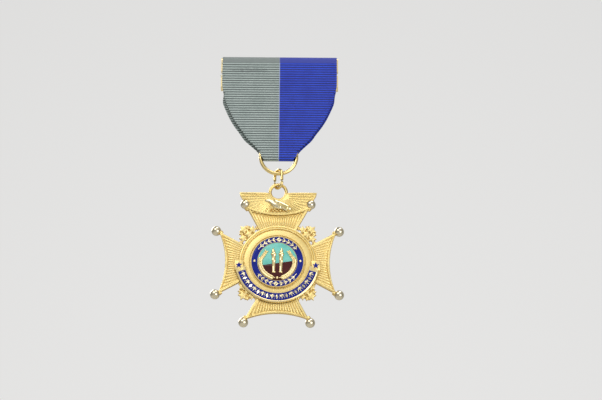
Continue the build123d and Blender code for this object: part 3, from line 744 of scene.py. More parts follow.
def ribbon_cloth():
    """Ribbed silk, grey on the left and blue on the right, with a pale line where the two meet; painted shade
    darkens the gaps between the ribs and the roll over the top.
    """
    material, tree, shader = new_material(
        "ribbon_cloth", {"Roughness": 0.62, "Sheen Weight": 0.12, "Sheen Roughness": 0.4}
    )
    threads = node(tree, "ShaderNodeAttribute", {"attribute_name": "weave"}, {}, out=1)
    across, run = parted(tree, threads, "X"), parted(tree, threads, "Y")
    where = place_of(tree)
    x, z = parted(tree, where, "X") * 1000.0, parted(tree, where, "Z") * 1000.0
    fuzz = noise(tree, place_of(tree, (1.0, 1.0, 5.0)), 1500.0, 4.0, 0.65)
    cloud = noise(tree, where, 220.0, 3.0)
    ridge = (run / RIB_PITCH).wave()
    top = z.step(brooch_high - 2.05, brooch_high - 1.75)
    tufts = ((across / 0.26)).wave()
    split = (across + fuzz * 0.25 - 0.12).step(-0.02, 0.02)
    grey = mix(tree, cloud.step(0.3, 0.7), (0.36, 0.43, 0.41), (0.42, 0.49, 0.47))
    blue = mix(tree, cloud.step(0.3, 0.7), (0.006, 0.040, 0.52), (0.012, 0.058, 0.62))
    shaded_gap_grey = mix(tree, fuzz.step(0.3, 0.8), (0.055, 0.070, 0.070), (0.10, 0.125, 0.12))
    shaded_gap_blue = mix(tree, fuzz.step(0.3, 0.8), (0.002, 0.006, 0.10), (0.004, 0.012, 0.16))
    crest = mix(tree, split, grey, blue)
    shaded_gap = mix(tree, split, shaded_gap_grey, shaded_gap_blue)
    # painted shade: the gaps between the ribs are coloured much darker than the crests
    wear_and_shade = ridge * (0.75 + fuzz * 0.5) * (1 - top) + top * 0.5
    colour = mix(tree, wear_and_shade.clamp().step(0.12, 0.72), shaded_gap, crest)
    meeting = (1 - (across._sum("ABSOLUTE")).step(0.05, 0.22)) * 0.55
    colour = mix(tree, meeting, colour, (0.42, 0.48, 0.62))
    aside, above = (x + 9.5)._sum("ABSOLUTE"), (z - brooch_high + 4.3)._sum("ABSOLUTE")
    soil = 1 - (aside * 0.13 + above * 0.9).step(0.35, 1.3)
    soil = soil * noise(tree, place_of(tree, (0.6, 1.0, 2.5)), 900.0, 4.0).step(0.40, 0.62) * 0.55
    colour = mix(tree, soil, colour, (0.09, 0.10, 0.10))
    # painted shade: the roll over the brooch's top is darkened to a dim grey and a dim blue, and its ribs are
    # evened out
    top_roll_shade = top * 0.62
    colour = mix(tree, top_roll_shade, colour, mix(tree, split, (0.17, 0.19, 0.19), (0.05, 0.06, 0.30)))
    feed(
        tree,
        shader,
        Base_Color=colour,
        Normal=bump(tree, tufts * 0.35 + fuzz * 0.8, 0.35, 0.00005),
    )
    return material


RIBBON = ribbon_cloth()
ribbon, ribbon_length, ribbon_area = make_ribbon()


# ------------------------------------------------------------------ rings
def wire_with_ends(name, line, wire, material):
    """A bent wire whose two cut ends meet at a fine joint."""
    return Clay().tube(line, wire, sides=20).finish(name, material, place=in_row, smooth=60)


def half_turn(first, up, steps=24):
    """The jump ring's rounded end, a half circle from first degrees about a point that far up."""
    return [(x, up + y) for x, y in (polar(jump_r, first + 180 * k / steps) for k in range(steps + 1))]


RING_GAP, RING_STEPS = 1.2, 120  # degrees left open where the ends meet
ring_line = []
for i in range(RING_STEPS + 1):
    x, z = polar(ring_radius, 90 + RING_GAP / 2 + (360 - RING_GAP) * i / RING_STEPS)
    ring_line.append((ring_centre.x + x, chain_y, ring_centre.z + z))
suspension_ring = wire_with_ends("suspension_ring_wire", ring_line, ring_wire, WIRE)

JUMP_TURN, JUMP_GAP = 40.0, 0.03
JUMP_WIRE, JUMP_WIDTH = 0.45, 4.2
jump_low, jump_high = node_box("jump_ring")
jump_centre = (jump_low + jump_high) / 2
jump_r = JUMP_WIDTH / 2 - JUMP_WIRE
jump_leg = (jump_high.z - jump_low.z) / 2 - JUMP_WIRE - jump_r
oval = [
    (jump_r, JUMP_GAP), (jump_r, jump_leg * 0.5), *half_turn(0, jump_leg), (-jump_r, 0.0),
    *half_turn(180, -jump_leg), (jump_r, -jump_leg * 0.5), (jump_r, -JUMP_GAP),
]
jump_line = []
for u, v in oval:
    y, x = polar(u, JUMP_TURN)
    jump_line.append((x, chain_y - y, jump_centre.z + v))
jump_ring = wire_with_ends("jump_ring_wire", jump_line, JUMP_WIRE, WIRE)

# ------------------------------------------------------------------ cross
ARM_REACH, ARM_TIP, ARM_HALF = 15.42, 17.35, 9.45
ARM_SLOPE = ARM_HALF / ARM_TIP
BORDER, FIELD = 0.75, cross_back + 1.10
FRAME_TOP = FIELD + 0.27
DISC = 11.35
DISC_RIM = banner_base
PROUD = 0.04  # the disc stands this far behind the arms, and the panel and the stars stop as far in front
EYELET_WIRE, EYELET = 0.47, 2.415
EYELET_UP = 22.02
BALL_FAR, BALL_NEAR = 18.21, 9.76
ball_places = [
    (a * x, b * y)
    for x, y in ((BALL_FAR, BALL_NEAR), (BALL_NEAR, BALL_FAR))
    for a in (-1, 1)
    for b in (-1, 1)
]


def turned(points, quarter):
    """Points of (x, y, ...) turned by quarters of a full turn."""
    c, s = ((1, 0), (0, 1), (-1, 0), (0, -1))[quarter]
    return [(c * p[0] - s * p[1], s * p[0] + c * p[1], *p[2:]) for p in points]


def arc_through(a, b, c, count=24):
    """Points from a through b to c along a circle."""
    (ax, ay), (bx, by), (cx, cy) = a, b, c
    d = 2 * (ax * (by - cy) + bx * (cy - ay) + cx * (ay - by))
    a2, b2, c2 = ax * ax + ay * ay, bx * bx + by * by, cx * cx + cy * cy
    ox = (a2 * (by - cy) + b2 * (cy - ay) + c2 * (ay - by)) / d
    oy = (a2 * (cx - bx) + b2 * (ax - cx) + c2 * (bx - ax)) / d
    r = math.hypot(ax - ox, ay - oy)
    angles = [math.atan2(y - oy, x - ox) for x, y in (a, b, c)]
    mid = angles[1]
    first = mid + math.remainder(angles[0] - mid, TAU)
    last = mid + math.remainder(angles[2] - mid, TAU)
    turns = (first + (last - first) * k / count for k in range(count + 1))
    return [(ox + r * math.cos(t), oy + r * math.sin(t)) for t in turns]


TIP_INSET, SIDE_INSET = 1.05, 1.14  # how much further the tips and the slanting sides are drawn in


def hollow_end(inset=0.0):
    """The arm's hollow end, from its lower tip to its upper one, drawn in by inset."""
    tip, reach = ARM_TIP - inset * TIP_INSET, ARM_REACH - inset
    half = ARM_SLOPE * tip - inset * SIDE_INSET
    return arc_through((tip, -half), (reach, 0.0), (tip, half))


def arm_outline(root=7.0):
    return [(root, ARM_SLOPE * root), (root, -ARM_SLOPE * root), *hollow_end()]


def make_arms():
    """Four plates, each with its raised frame along the two sides and the hollow end."""
    plate, frame_bead = Clay(), Clay()
    outline = arm_outline()
    for quarter in range(4):
        plate.slab(turned(outline, quarter), cross_back, FIELD)
    piece = plate.finish("arm_plates", STRUCK, bevel=0.12)
    inner_end = hollow_end(BORDER)
    for quarter in range(4):
        end = hollow_end()
        root = 9.0
        step_in = BORDER * 1.14
        outer_line = [(root, -ARM_SLOPE * root), *end, (root, ARM_SLOPE * root)]
        inner_line = [(root, -ARM_SLOPE * root + step_in), *inner_end, (root, ARM_SLOPE * root - step_in)]
        strip(frame_bead, turned(outer_line, quarter), turned(inner_line, quarter), FIELD - 0.1, FRAME_TOP)
    frames = frame_bead.finish("arm_frames", STRUCK, smooth=50)
    return piece, frames


def strip(clay, outside, inside, low, top, soft=0.16):
    """A raised band between two lines with the same number of points, its two edges rounded."""
    section = (
        (0.0, low), (0.0, top - soft), (0.06, top - soft * 0.35), (0.18, top), (0.82, top),
        (0.94, top - soft * 0.35), (1.0, top - soft), (1.0, low),
    )
    points = []
    for (ax, ay), (bx, by) in zip(outside, inside):
        points += [(ax + (bx - ax) * s, ay + (by - ay) * s, d) for s, d in section]
    clay.loft(points, len(section))


def lofted(rows, section):
    """A part one millimetre long through rows of (along, wide, high); section gives a row's corners."""
    points = [(t, y, d) for t, w, h in rows for y, d in section(w, h)]
    return Clay().loft(points, len(points) // len(rows))


def ridged(shoulder, level, foot):
    """A five-cornered section: a foot each side, a shoulder each side and a ridge."""
    return lambda w, h: (
        (-0.5 * w, foot), (-shoulder * w, level * h), (0.0, h), (shoulder * w, level * h), (0.5 * w, foot)
    )


def flute_part():
    """A ray with a low ridge, narrower at its inner end."""
    rows = ((0.0, 0.55, 0.0), (0.04, 0.60, 0.75), (0.5, 0.8, 1.0), (0.96, 1.0, 0.8), (1.0, 0.9, 0.0))
    return lofted(rows, ridged(0.36, 0.86, -0.3))


def make_flutes():
    """Rays fan out over each arm's field from the disc to the frame."""
    spots, fan, count, start = [], 24.6, 18, DISC - 0.35
    inner_end = hollow_end(BORDER + 0.12)
    for quarter in range(4):
        for k in range(count):
            angle = -fan + 2 * fan * k / (count - 1)
            t = math.radians(angle)
            far = next(math.hypot(x, y) for x, y in inner_end if math.atan2(y, x) >= t - 0.012)
            if quarter == 1:
                far = min(far, (panel_sag(math.tan(t) * 14.5) - 0.55) / math.cos(t))
            wide = far * math.radians(2 * fan / (count - 1)) * 0.88
            turn = angle + 90 * quarter
            spots.append(((*polar(start, turn), FIELD), turn, (far - start, wide, 0.16)))
    return repeated("arm_flutes", flute_part(), spots, STRUCK, smooth=50)


PANEL_LOW = arc_through((-9.05, 16.6), (0.0, 14.6), (9.05, 16.6), 40)
PANEL_FACE = FIELD + 0.30


def panel_sag(x):
    """Height of the wing panel's lower line at x."""
    for (ax, ay), (bx, by) in zip(PANEL_LOW, PANEL_LOW[1:]):
        if ax <= x <= bx:
            return ay + (by - ay) * (x - ax) / (bx - ax)
    return PANEL_LOW[0][1]


def make_disc():
    """The disc's plain back, its matt band and its rounded rim."""
    back, rim = cross_back - PROUD, DISC_RIM
    seat = seal_base
    gutter = min(seat, rim - 0.45)
    profile = [
        (0.0, back), (DISC - 0.15, back), (DISC, back + 0.15), (DISC, rim - 0.30), (DISC - 0.06, rim - 0.08),
        (DISC - 0.18, rim), (DISC - 0.46, rim + 0.02), (DISC - 0.56, rim - 0.06), (DISC - 0.62, rim - 0.16),
        (DISC - 0.68, rim - 0.06), (DISC - 0.78, rim + 0.01), (DISC - 1.02, rim), (DISC - 1.12, rim - 0.08),
        (DISC - 1.17, rim - 0.50), (DISC - 1.44, rim - 0.50), (DISC - 1.49, rim - 0.14),
        (DISC - 1.58, rim - 0.10), (DISC - 3.00, rim - 0.10), (DISC - 3.08, rim - 0.18),
        (DISC - 3.12, gutter), (seal_radius - 0.3, gutter), (seal_radius - 0.35, seat + 0.02), (0.0, seat),
    ]
    return Clay().lathe(profile, 160).finish("centre_disc", STRUCK, smooth=30)


def make_post_heads():
    """The posts' riveted ends, low domes on the plain back."""
    spots = []
    for name, upright in (("seal_posts", True), ("banner_posts", False)):
        low, high = node_box(name)
        middle, half = (low + high) / 2, (high - low) / 2
        radius = half.x if upright else half.z
        for end in (-1, 1):
            x = middle.x if upright else end * (high.x - radius)
            z = middle.z + (end * (half.z - radius) if upright else 0)
            place = (x, z - cross_centre.z, cross_back - PROUD)
            spots.append((place, 0, (radius * 1.25, radius * 1.25, -0.16)))
    return repeated("post_heads", round_part(20), spots, STRUCK, smooth=60)


def make_balls():
    """Polished balls, each on a small collar at an arm's tip."""
    balls, collars = Clay(), Clay()
    steps = 18
    ball = [polar(ball_radius, 90 - 180 * i / steps) for i in range(steps + 1)]
    ball[0], ball[-1] = (0.0, ball_radius), (0.0, -ball_radius)
    for x, y in ball_places:
        balls.lathe(ball, 28, centre=(x, y))
        corner = Vector((math.copysign(ARM_TIP if abs(x) > abs(y) else ARM_HALF, x),
                         math.copysign(ARM_HALF if abs(x) > abs(y) else ARM_TIP, y)))
        inward = (corner - Vector((x, y))).normalized()
        near = Vector((x, y)) + inward * (ball_radius - 0.30)
        line = [(*(near + inward * s), -0.05) for s in (0.0, 0.12, 0.3, 0.55, 0.9)]
        collars.tube(line, [0.66, 0.74, 0.72, 0.58, 0.50], sides=20)
    return balls.finish("polished_balls", BALL, smooth=60), collars.finish("ball_collars", STRUCK, smooth=60)


# each star's place in the upper right corner, its size, its tilt in degrees and its rise
STARS = (
    (10.05, 10.15, 1.50, -45, 0.26), (7.45, 10.15, 1.35, 4, 0.20), (10.15, 7.45, 1.35, -22, 0.20),
    (8.55, 8.75, 1.40, 45, 0.24), (8.85, 10.85, 0.85, -20, 0.02), (10.75, 8.95, 0.85, 30, 0.02),
    (6.15, 10.75, 0.85, 20, -0.02), (10.75, 6.25, 0.85, -20, -0.02),
)


def make_stars():
    """Clusters of five-pointed stars in the four corners, over a lobed backing."""
    stars, pads = Clay(), Clay()
    lobed = [polar(2.0 + 0.25 * math.cos(math.radians(30 * k)), 6 * k) for k in range(60)]
    for a in (-1, 1):
        for b in (-1, 1):
            for x, y, size, tilt, rise in STARS:
                turn = (tilt if b > 0 else tilt + 36) * a
                stars.star(a * x, b * y, size, turn, -0.35, FIELD + rise, FIELD + rise + 0.10)
            pads.slab([(a * 9.0 + x, b * 9.0 + y) for x, y in lobed], cross_back + PROUD, FIELD - 0.25)
    cluster = stars.finish("corner_stars", STRUCK, smooth=25, bevel=0.10)
    return cluster, pads.finish("star_backing", STRUCK, bevel=0.12)


def make_panel():
    """The wing panel's plate, the lip along its foot and the eyelet."""
    top, tip = 21.75, 11.5
    left = [(-tip, top), (-tip + 0.2, top - 0.9), (-10.35, 19.3), (-9.4, 17.6)]
    right = [(-x, y) for x, y in reversed(left)]
    outline = left + PANEL_LOW + right
    half = [
        (tip - 0.6, top + 0.03), (6.2, top + 0.05), (3.0, top - 0.05),
        (2.6, top - 0.55), (2.2, 20.6), (1.4, 19.6),
    ]
    scallops = [*half, (0.0, 19.2), *[(-x, y) for x, y in reversed(half)]]
    plate = Clay().slab(outline + scallops, cross_back + PROUD, PANEL_FACE)
    plate = plate.finish("wing_panel", STRUCK, bevel=0.14)
    lip = Clay()
    strip(lip, PANEL_LOW, [(x * 0.985, y + 0.62) for x, y in PANEL_LOW], FIELD - 0.1, PANEL_FACE + 0.18)
    eye = [(x, EYELET_UP + y, 0.0) for x, y in (polar(EYELET, 5 * k) for k in range(72))]
    lip_piece = lip.finish("panel_lip", STRUCK, smooth=50)
    eyelet = Clay().tube(eye, EYELET_WIRE, sides=20, closed=True).finish("eyelet", STRUCK, smooth=60)
    return plate, lip_piece, eyelet


def feather_part():
    """A feather with a shaft along its middle and a rounded tip."""
    rows = (
        (0.0, 0.35, 0.2), (0.08, 0.75, 0.8), (0.5, 1.0, 1.0),
        (0.85, 0.85, 0.9), (0.96, 0.5, 0.6), (1.0, 0.12, 0.1),
    )
    return lofted(rows, lambda w, h: (
        (-0.5 * w, -0.4), (-0.44 * w, 0.38 * h), (-0.1, 0.62 * h), (0.0, h),
        (0.1, 0.62 * h), (0.44 * w, 0.38 * h), (0.5 * w, -0.4),
    ))


def make_feathers():
    """Long flight feathers stacked towards each tip, and shorter ones that fan out under them."""
    spots = []
    for side in (-1, 1):
        def put(x, y, turn, long, wide, high):
            spots.append(((side * x, y, PANEL_FACE), turn if side > 0 else 180 - turn, (long, wide, high)))

        for k in range(3):
            put(2.9 + 0.15 * k, 21.32 - 0.66 * k, 1.0 - 1.6 * k, 8.3 - 0.40 * k, 0.70, 0.30 - 0.03 * k)
        for k in range(9):
            s = k / 8
            reach = 7.5 - 4.0 * smooth(0.1, 1.0, s)
            put(2.4 - 0.3 * s, 19.6 - 1.1 * s, -7 - 69 * s, reach, 0.70 + 0.08 * (1 - s), 0.20)
    return repeated("wing_feathers", feather_part(), spots, STRUCK, smooth=50)


def round_part(sides=14):
    """A half ball one millimetre in radius, on a short foot."""
    rows = [*(polar(1.0, rise) for rise in (90, 68, 45, 22, 0)), (1.0, -0.4)]
    points = [(*polar(r, 360 * k / sides), d) for r, d in rows for k in range(sides)]
    return Clay().loft(points, sides)


def make_bird():
    """A polished perched bird: head and neck to the left, breast, a folded wing, tail and feet."""
    top = PANEL_FACE
    body = Clay()
    breast = [
        (-3.95, 18.98, 0.16), (-3.62, 19.12, 0.28), (-3.15, 19.20, 0.36), (-2.6, 19.05, 0.38),
        (-2.0, 18.72, 0.38), (-1.3, 18.22, 0.44), (-0.55, 17.75, 0.52), (0.3, 17.35, 0.50),
        (1.2, 17.05, 0.40), (2.1, 16.90, 0.28),
    ]
    breast_radii = [0.08, 0.30, 0.46, 0.46, 0.60, 0.86, 1.06, 1.00, 0.72, 0.3]
    body.tube([(x, y, top + d) for x, y, d in breast], breast_radii, sides=16, squeeze=0.55)
    tail = [(1.9, 17.35, 0.25), (2.7, 17.0, 0.30), (3.4, 16.72, 0.26), (4.0, 16.50, 0.14)]
    body.tube([(x, y, top + d) for x, y, d in tail], [0.42, 0.58, 0.54, 0.30], sides=12, squeeze=0.45)
    for x in (-1.3, 0.65):
        leg = [(x + 0.5, 17.4, top + 0.35), (x + 0.15, 17.0, top + 0.34), (x, 16.6, top + 0.26)]
        body.tube(leg, [0.42, 0.26, 0.14], sides=10)
    bird = body.finish("bird", PALE, smooth=60, levels=1)
    wing = []
    for k in range(4):
        root = (-1.3 + 0.42 * k, 19.1 - 0.42 * k, top + 0.66)
        wing.append((root, -25.0 - 3.0 * k, (5.3 - 0.62 * k, 0.86, 0.46)))
    for k in range(3):
        root = (-1.4 + 0.3 * k, 19.0 - 0.5 * k, top + 0.84)
        wing.append((root, -28.0 - 5 * k, (2.4 - 0.3 * k, 0.80, 0.36)))
    wing_piece = repeated("bird_wing", feather_part(), wing, PALE, smooth=50)
    berries, stalks = [], []
    for k in range(7):
        x = -3.45 + 1.0 * k + 0.12 * (k > 2)
        berries.append(((x, 16.05 + 0.04 * math.cos(k), top - 0.02), 0, (0.36, 0.36, 0.34)))
        stalks.append(((-3.1 + 1.0 * k, 16.25, top + 0.02), (115, 65)[k % 2], (0.75, 0.34, 0.30)))
    # painted shadow: a wider, flat dark dome under each berry stands in for the shade round it
    shadows = [(place, 0, (0.56, 0.56, 0.10)) for place, turn, grow in berries]
    return (
        bird,
        wing_piece,
        repeated("perch_berries", round_part(), berries, STRUCK),
        repeated("perch_ground", round_part(), shadows, PERCH_SHADE),
        repeated("perch_leaves", leaf_part(), stalks, STRUCK, smooth=50),
    )


def leaf_part():
    """A leaf one millimetre long and wide, creased along its middle."""
    rows = ((0.0, 0.1, 0.3), (0.2, 0.62, 0.85), (0.5, 1.0, 1.0), (0.8, 0.6, 0.8), (1.0, 0.06, 0.2))
    return lofted(rows, ridged(0.36, 0.7, -0.2))


arms, arm_frames = make_arms()
flutes = make_flutes()
disc = make_disc()
post_heads = make_post_heads()
balls, collars = make_balls()
stars, star_pads = make_stars()
panel, panel_lip, eyelet = make_panel()
feathers = make_feathers()
bird_pieces = make_bird()

# ------------------------------------------------------------------ seal
SEAL_FLOOR = seal_face - 0.35
RING_IN, RING_OUT = 5.95, 7.55
FIELD_R = 5.75
SEAL_STEPS = 160
ENAMEL_TOP = seal_face - 0.04


HORIZON_LEFT, HORIZON_RIGHT = -1.6, 0.75  # its heights at the seal's two sides


def horizon(x):
    """Height of the line between sky and ground at x."""
    return HORIZON_LEFT + (HORIZON_RIGHT - HORIZON_LEFT) * (x + seal_radius) / (2 * seal_radius)


def enamel_disc(name, outline, material):
    """A flat field of enamel with softened edges, let into the seal's floor."""
    return Clay().slab(outline, SEAL_FLOOR, ENAMEL_TOP).finish(name, material, bevel=0.08)


def make_seal():
    """The seal's metal, its blue ring, and its sky over its ground, parted by a slanting horizon."""
    made, metal = [], Clay()
    low, top = seal_base, seal_face
    section = [
        (0.0, low), (seal_radius - 0.06, low), (seal_radius, low + 0.08), (seal_radius, top - 0.12),
        (seal_radius - 0.09, top + 0.02), (seal_radius - 0.26, top + 0.02), (RING_OUT, top - 0.10),
        (RING_OUT, SEAL_FLOOR), (RING_IN, SEAL_FLOOR), (RING_IN, top - 0.06), (RING_IN - 0.05, top + 0.02),
        (FIELD_R + 0.05, top + 0.02), (FIELD_R, top - 0.06), (FIELD_R, SEAL_FLOOR), (0.0, SEAL_FLOOR),
    ]
    made.append(metal.lathe(section, SEAL_STEPS).finish("seal_metal", BRIGHT, smooth=40))
    ring_section = [
        (RING_IN - 0.02, SEAL_FLOOR), (RING_OUT + 0.02, SEAL_FLOOR), (RING_OUT + 0.02, ENAMEL_TOP - 0.02),
        (RING_OUT - 0.25, ENAMEL_TOP + 0.01), (6.75, ENAMEL_TOP + 0.03), (RING_IN + 0.25, ENAMEL_TOP + 0.01),
        (RING_IN - 0.02, ENAMEL_TOP - 0.02),
    ]
    ring = Clay().lathe(ring_section, SEAL_STEPS)
    made.append(ring.finish("seal_ring_blue", BLUE, smooth=50))
    r = FIELD_R + 0.02
    edge = [polar(r, 1.5 * k) for k in range(240)]
    rise = (horizon(r) - horizon(0)) / r
    spread = math.degrees(math.asin(horizon(0) / (r * math.hypot(1, rise))))
    slant = math.degrees(math.atan(rise))
    ends = [polar(r, slant + spread), polar(r, 180 + slant - spread)]
    above = [ends[0], *[p for p in edge if p[1] > horizon(p[0]) + 0.02], ends[1]]
    after = [p for p in edge if p[1] < horizon(p[0]) - 0.02]
    below = [ends[1], *[p for p in after if p[1] < 0], *[p for p in after if p[1] >= 0], ends[0]]
    made.append(enamel_disc("sky", above, SKY))
    made.append(enamel_disc("ground", below, GROUND))
    return made


def lozenge_part():
    """A pyramid-topped lozenge one millimetre long and wide."""
    square = ((0.5, 0), (0, 0.5), (-0.5, 0), (0, -0.5))
    points = [(x, y, d) for d in (-0.4, 0.3) for x, y in square] + [(0, 0, 1)]
    faces = [(3, 2, 1, 0)]
    for k in range(4):
        n = (k + 1) % 4
        faces += [(k, n, n + 4, k + 4), (k + 4, n + 4, 8)]
    return Clay().add(points, faces)


def make_torches():
    """Two upright torches, each a turned shaft with a cup and a flame."""
    clay = Clay()
    top = seal_face
    for side in (-1, 1):
        foot, head = side * 1.02, side * 1.16

        def at(y, d):
            return (foot + (head - foot) * (y + 3.4) / 7.6, y, d)

        shaft = [
            (-3.45, 0.40), (-3.3, 0.58), (-3.05, 0.58), (-2.9, 0.42), (-1.2, 0.47), (0.2, 0.53), (0.4, 0.64),
            (0.6, 0.53), (1.5, 0.58), (1.9, 0.66), (2.1, 0.80), (2.45, 0.82), (2.6, 0.64),
        ]
        clay.tube([at(y, top) for y, r in shaft], [r for y, r in shaft], sides=16, squeeze=0.55)
        flame = [
            (2.5, 0.40, 0.0), (2.85, 0.56, 0.0), (3.2, 0.50, 0.05),
            (3.55, 0.36, 0.12), (3.9, 0.20, 0.08), (4.25, 0.03, -0.02),
        ]
        line = [(at(y, top)[0] + side * lean, y, top + 0.02) for y, r, lean in flame]
        clay.tube(line, [r for y, r, lean in flame], sides=12, squeeze=0.6)
    return [clay.finish("torches", BRIGHT, smooth=50)]


def make_sprays():
    """A leafy spray up each side of the seal's field."""
    stems, spots = Clay(), []
    top = seal_face
    for side in (-1, 1):
        line = []
        for k in range(25):
            out, up = polar(4.98, -82 + 86 * k / 24)
            line.append((side * out, up - 0.02))
        line += [(side * (4.97 - 1.75 * s), 0.45 + 2.75 * s) for s in (0.1, 0.25, 0.45, 0.65, 0.85, 1.0)]
        radii = [0.16 + 0.22 * math.sin(math.pi * min(1, k / 26)) for k in range(25)]
        radii += [0.24, 0.22, 0.2, 0.16, 0.12, 0.05]
        stems.tube([(x, y, top - 0.02) for x, y in line], radii, sides=10, squeeze=0.6)
        for k in range(1, len(line) - 1):
            (ax, ay), (bx, by) = line[k - 1], line[k + 1]
            way = math.degrees(math.atan2(by - ay, bx - ax))
            x, y = line[k]
            for lean in (-34, 34):
                long = 1.15 if k < 25 else 0.9
                spots.append(((x, y, top + 0.02), way + lean, (long, 0.56, 0.26)))
    return [
        stems.finish("spray_stems", BRIGHT, smooth=60),
        repeated("spray_leaves", leaf_part(), spots, BRIGHT, smooth=50),
    ]


def make_ring_marks():
    """A garland of small leaves round the blue ring, with a pellet at each side."""
    radius, top = (RING_IN + RING_OUT) / 2, seal_face - 0.03
    spots, stems = [], Clay()
    for first, last, count in ((33, 147, 10), (213, 327, 10)):
        line = (polar(radius, first + (last - first) * k / 48) for k in range(49))
        stems.tube([(x, y, top) for x, y in line], 0.09, sides=8)
        for k in range(count):
            angle = first + (last - first) * (k + 0.2) / count
            way = 90 if angle < 90 or 180 < angle < 270 else -90
            for lean in (34, -34):
                spots.append(((*polar(radius, angle), top), angle + way + lean, (1.15, 0.50, 0.15)))
    garland = stems.finish("ring_stems", PALE, smooth=60)
    leaves = repeated("ring_leaves", leaf_part(), spots, PALE, smooth=50)
    pellets = [((side * radius, 0.2, top), 0, (0.40, 0.40, 0.26)) for side in (-1, 1)]
    knot = [((0.0, -4.95, seal_face), 0, (0.42, 0.42, 0.3))]
    return [
        garland,
        leaves,
        repeated("ring_pellets", round_part(), pellets, PALE),
        repeated("spray_knot", round_part(), knot, BRIGHT),
    ]


# ------------------------------------------------------------------ banner
BANNER_IN, BANNER_OUT, BANNER_RIM, BANNER_LINE = 9.45, 12.5, 0.62, 0.30
BANNER_FLOOR = banner_face - 0.30
ENAMEL_IN, ENAMEL_OUT = BANNER_IN + BANNER_LINE, BANNER_OUT - BANNER_RIM
BANNER_END, ENAMEL_END = 8.0, 15.5
PLAQUE = (2.6, 3.0)
PLAQUE_AT = (11.3, -1.2)


def sector(clay, profile, first, last, steps):
    clay.lathe(profile, steps, start=first, sweep=last - first)


def make_banner():
    """The curved banner's metal, its blue enamel, and a starred plaque at each end."""
    low, top = banner_base, banner_face
    body = Clay()
    open_section = [
        (BANNER_IN, low), (BANNER_OUT, low), (BANNER_OUT, top - 0.16), (BANNER_OUT - 0.10, top - 0.01),
        (BANNER_OUT - 0.28, top + 0.05), (ENAMEL_OUT + 0.08, top), (ENAMEL_OUT, top - 0.08),
        (ENAMEL_OUT, BANNER_FLOOR), (ENAMEL_IN, BANNER_FLOOR), (ENAMEL_IN, top - 0.06),
        (ENAMEL_IN - 0.05, top), (BANNER_IN + 0.07, top), (BANNER_IN, top - 0.10),
    ]
    full_section = [
        (BANNER_IN, low), (BANNER_OUT, low), (BANNER_OUT, top - 0.12),
        (BANNER_OUT - 0.10, top), (BANNER_IN + 0.08, top), (BANNER_IN, top - 0.10),
    ]
    sector(body, open_section, 180 + ENAMEL_END, 360 - ENAMEL_END, 120)
    sector(body, full_section, 180 + BANNER_END, 180 + ENAMEL_END + 0.2, 8)
    sector(body, full_section, 360 - ENAMEL_END - 0.2, 360 - BANNER_END, 8)
    made = [body.finish("banner_metal", BRIGHT, smooth=40)]
    enamel_section = [
        (ENAMEL_IN - 0.03, BANNER_FLOOR - 0.02), (ENAMEL_OUT + 0.03, BANNER_FLOOR - 0.02),
        (ENAMEL_OUT + 0.03, top - 0.09), (ENAMEL_OUT - 0.25, top - 0.05),
        ((ENAMEL_IN + ENAMEL_OUT) / 2, top - 0.03), (ENAMEL_IN + 0.25, top - 0.05),
        (ENAMEL_IN - 0.03, top - 0.09),
    ]
    enamel_ring = Clay()
    sector(enamel_ring, enamel_section, 180 + ENAMEL_END - 0.1, 360 - ENAMEL_END + 0.1, 120)
    made.append(enamel_ring.finish("banner_blue", BLUE, smooth=50))
    plaques, star_fill, star_edge = Clay(), Clay(), Clay()
    for side in (-1, 1):
        cx, cy = side * PLAQUE_AT[0], PLAQUE_AT[1]
        w, h = PLAQUE[0] / 2, PLAQUE[1] / 2
        corners = [(cx - w, cy - h), (cx + w, cy - h), (cx + w, cy + h), (cx - w, cy + h)]
        plaques.slab(corners, low - 0.02, top + 0.04)
        for clay, size, d0, d1 in ((star_edge, 1.22, top, top + 0.07), (star_fill, 1.10, top, top + 0.095)):
            clay.slab(star_outline(cx, cy, size), d0, d1)
    made.append(plaques.finish("banner_plaques", STRUCK, bevel=0.16))
    made.append(star_edge.finish("plaque_star_edges", BRIGHT, bevel=0.02))
    made.append(star_fill.finish("plaque_stars_blue", BLUE, bevel=0.02))
    return made


def make_banner_marks():
    """Lozenges, leaves and pellets in turn along the banner."""
    radius, top = (ENAMEL_IN + ENAMEL_OUT) / 2, banner_face - 0.05
    count, margin = 19, 5.5
    first, last = 180 + ENAMEL_END + margin, 360 - ENAMEL_END - margin
    step = (last - first) / (count - 1)
    lozenges, leaves, pellets = [], [], []
    for k in range(count):
        angle = first + step * k
        if k % 2:
            lozenges.append(((*polar(radius, angle), top), angle, (1.45, 0.78, 0.17)))
        else:
            foot = (*polar(radius - 0.72, angle), top)
            for lean, long in ((0, 1.5), (38, 1.15), (-38, 1.15)):
                leaves.append((foot, angle + lean, (long, 0.46, 0.16)))
        if k < count - 1:
            for out in (-0.45, 0.45):
                pellets.append(((*polar(radius + out, angle + step / 2), top), 0, (0.14, 0.14, 0.13)))
    return [
        repeated("banner_lozenges", lozenge_part(), lozenges, PALE, smooth=20),
        repeated("banner_leaves", leaf_part(), leaves, PALE, smooth=50),
        repeated("banner_pellets", round_part(10), pellets, PALE),
    ]


seal = make_seal()
relief = make_torches() + make_sprays()
ring_marks = make_ring_marks()
banner = make_banner()
banner_marks = make_banner_marks()

# ------------------------------------------------------------------ loose threads and the ring's pocket seam
def make_threads():
    """Frayed ends at the ribbon's left edge."""
    clay = Clay()
    edge = -RIBBON_HALF
    lower = [(0.2, 0.0, -0.9), (-0.25, -0.12, -1.1), (-0.6, -0.2, -1.0), (-0.75, -0.15, -0.75)]
    upper = [(0.1, 0.0, 3.4), (-0.2, -0.1, 3.3), (-0.3, -0.1, 2.9)]
    for thread, radius in ((lower, 0.07), (upper, 0.06)):
        clay.tube([(edge + x, front_y + y, z) for x, y, z in thread], radius, sides=6)
    return clay.finish("frayed_threads", THREAD_PALE, place=in_row, smooth=60)


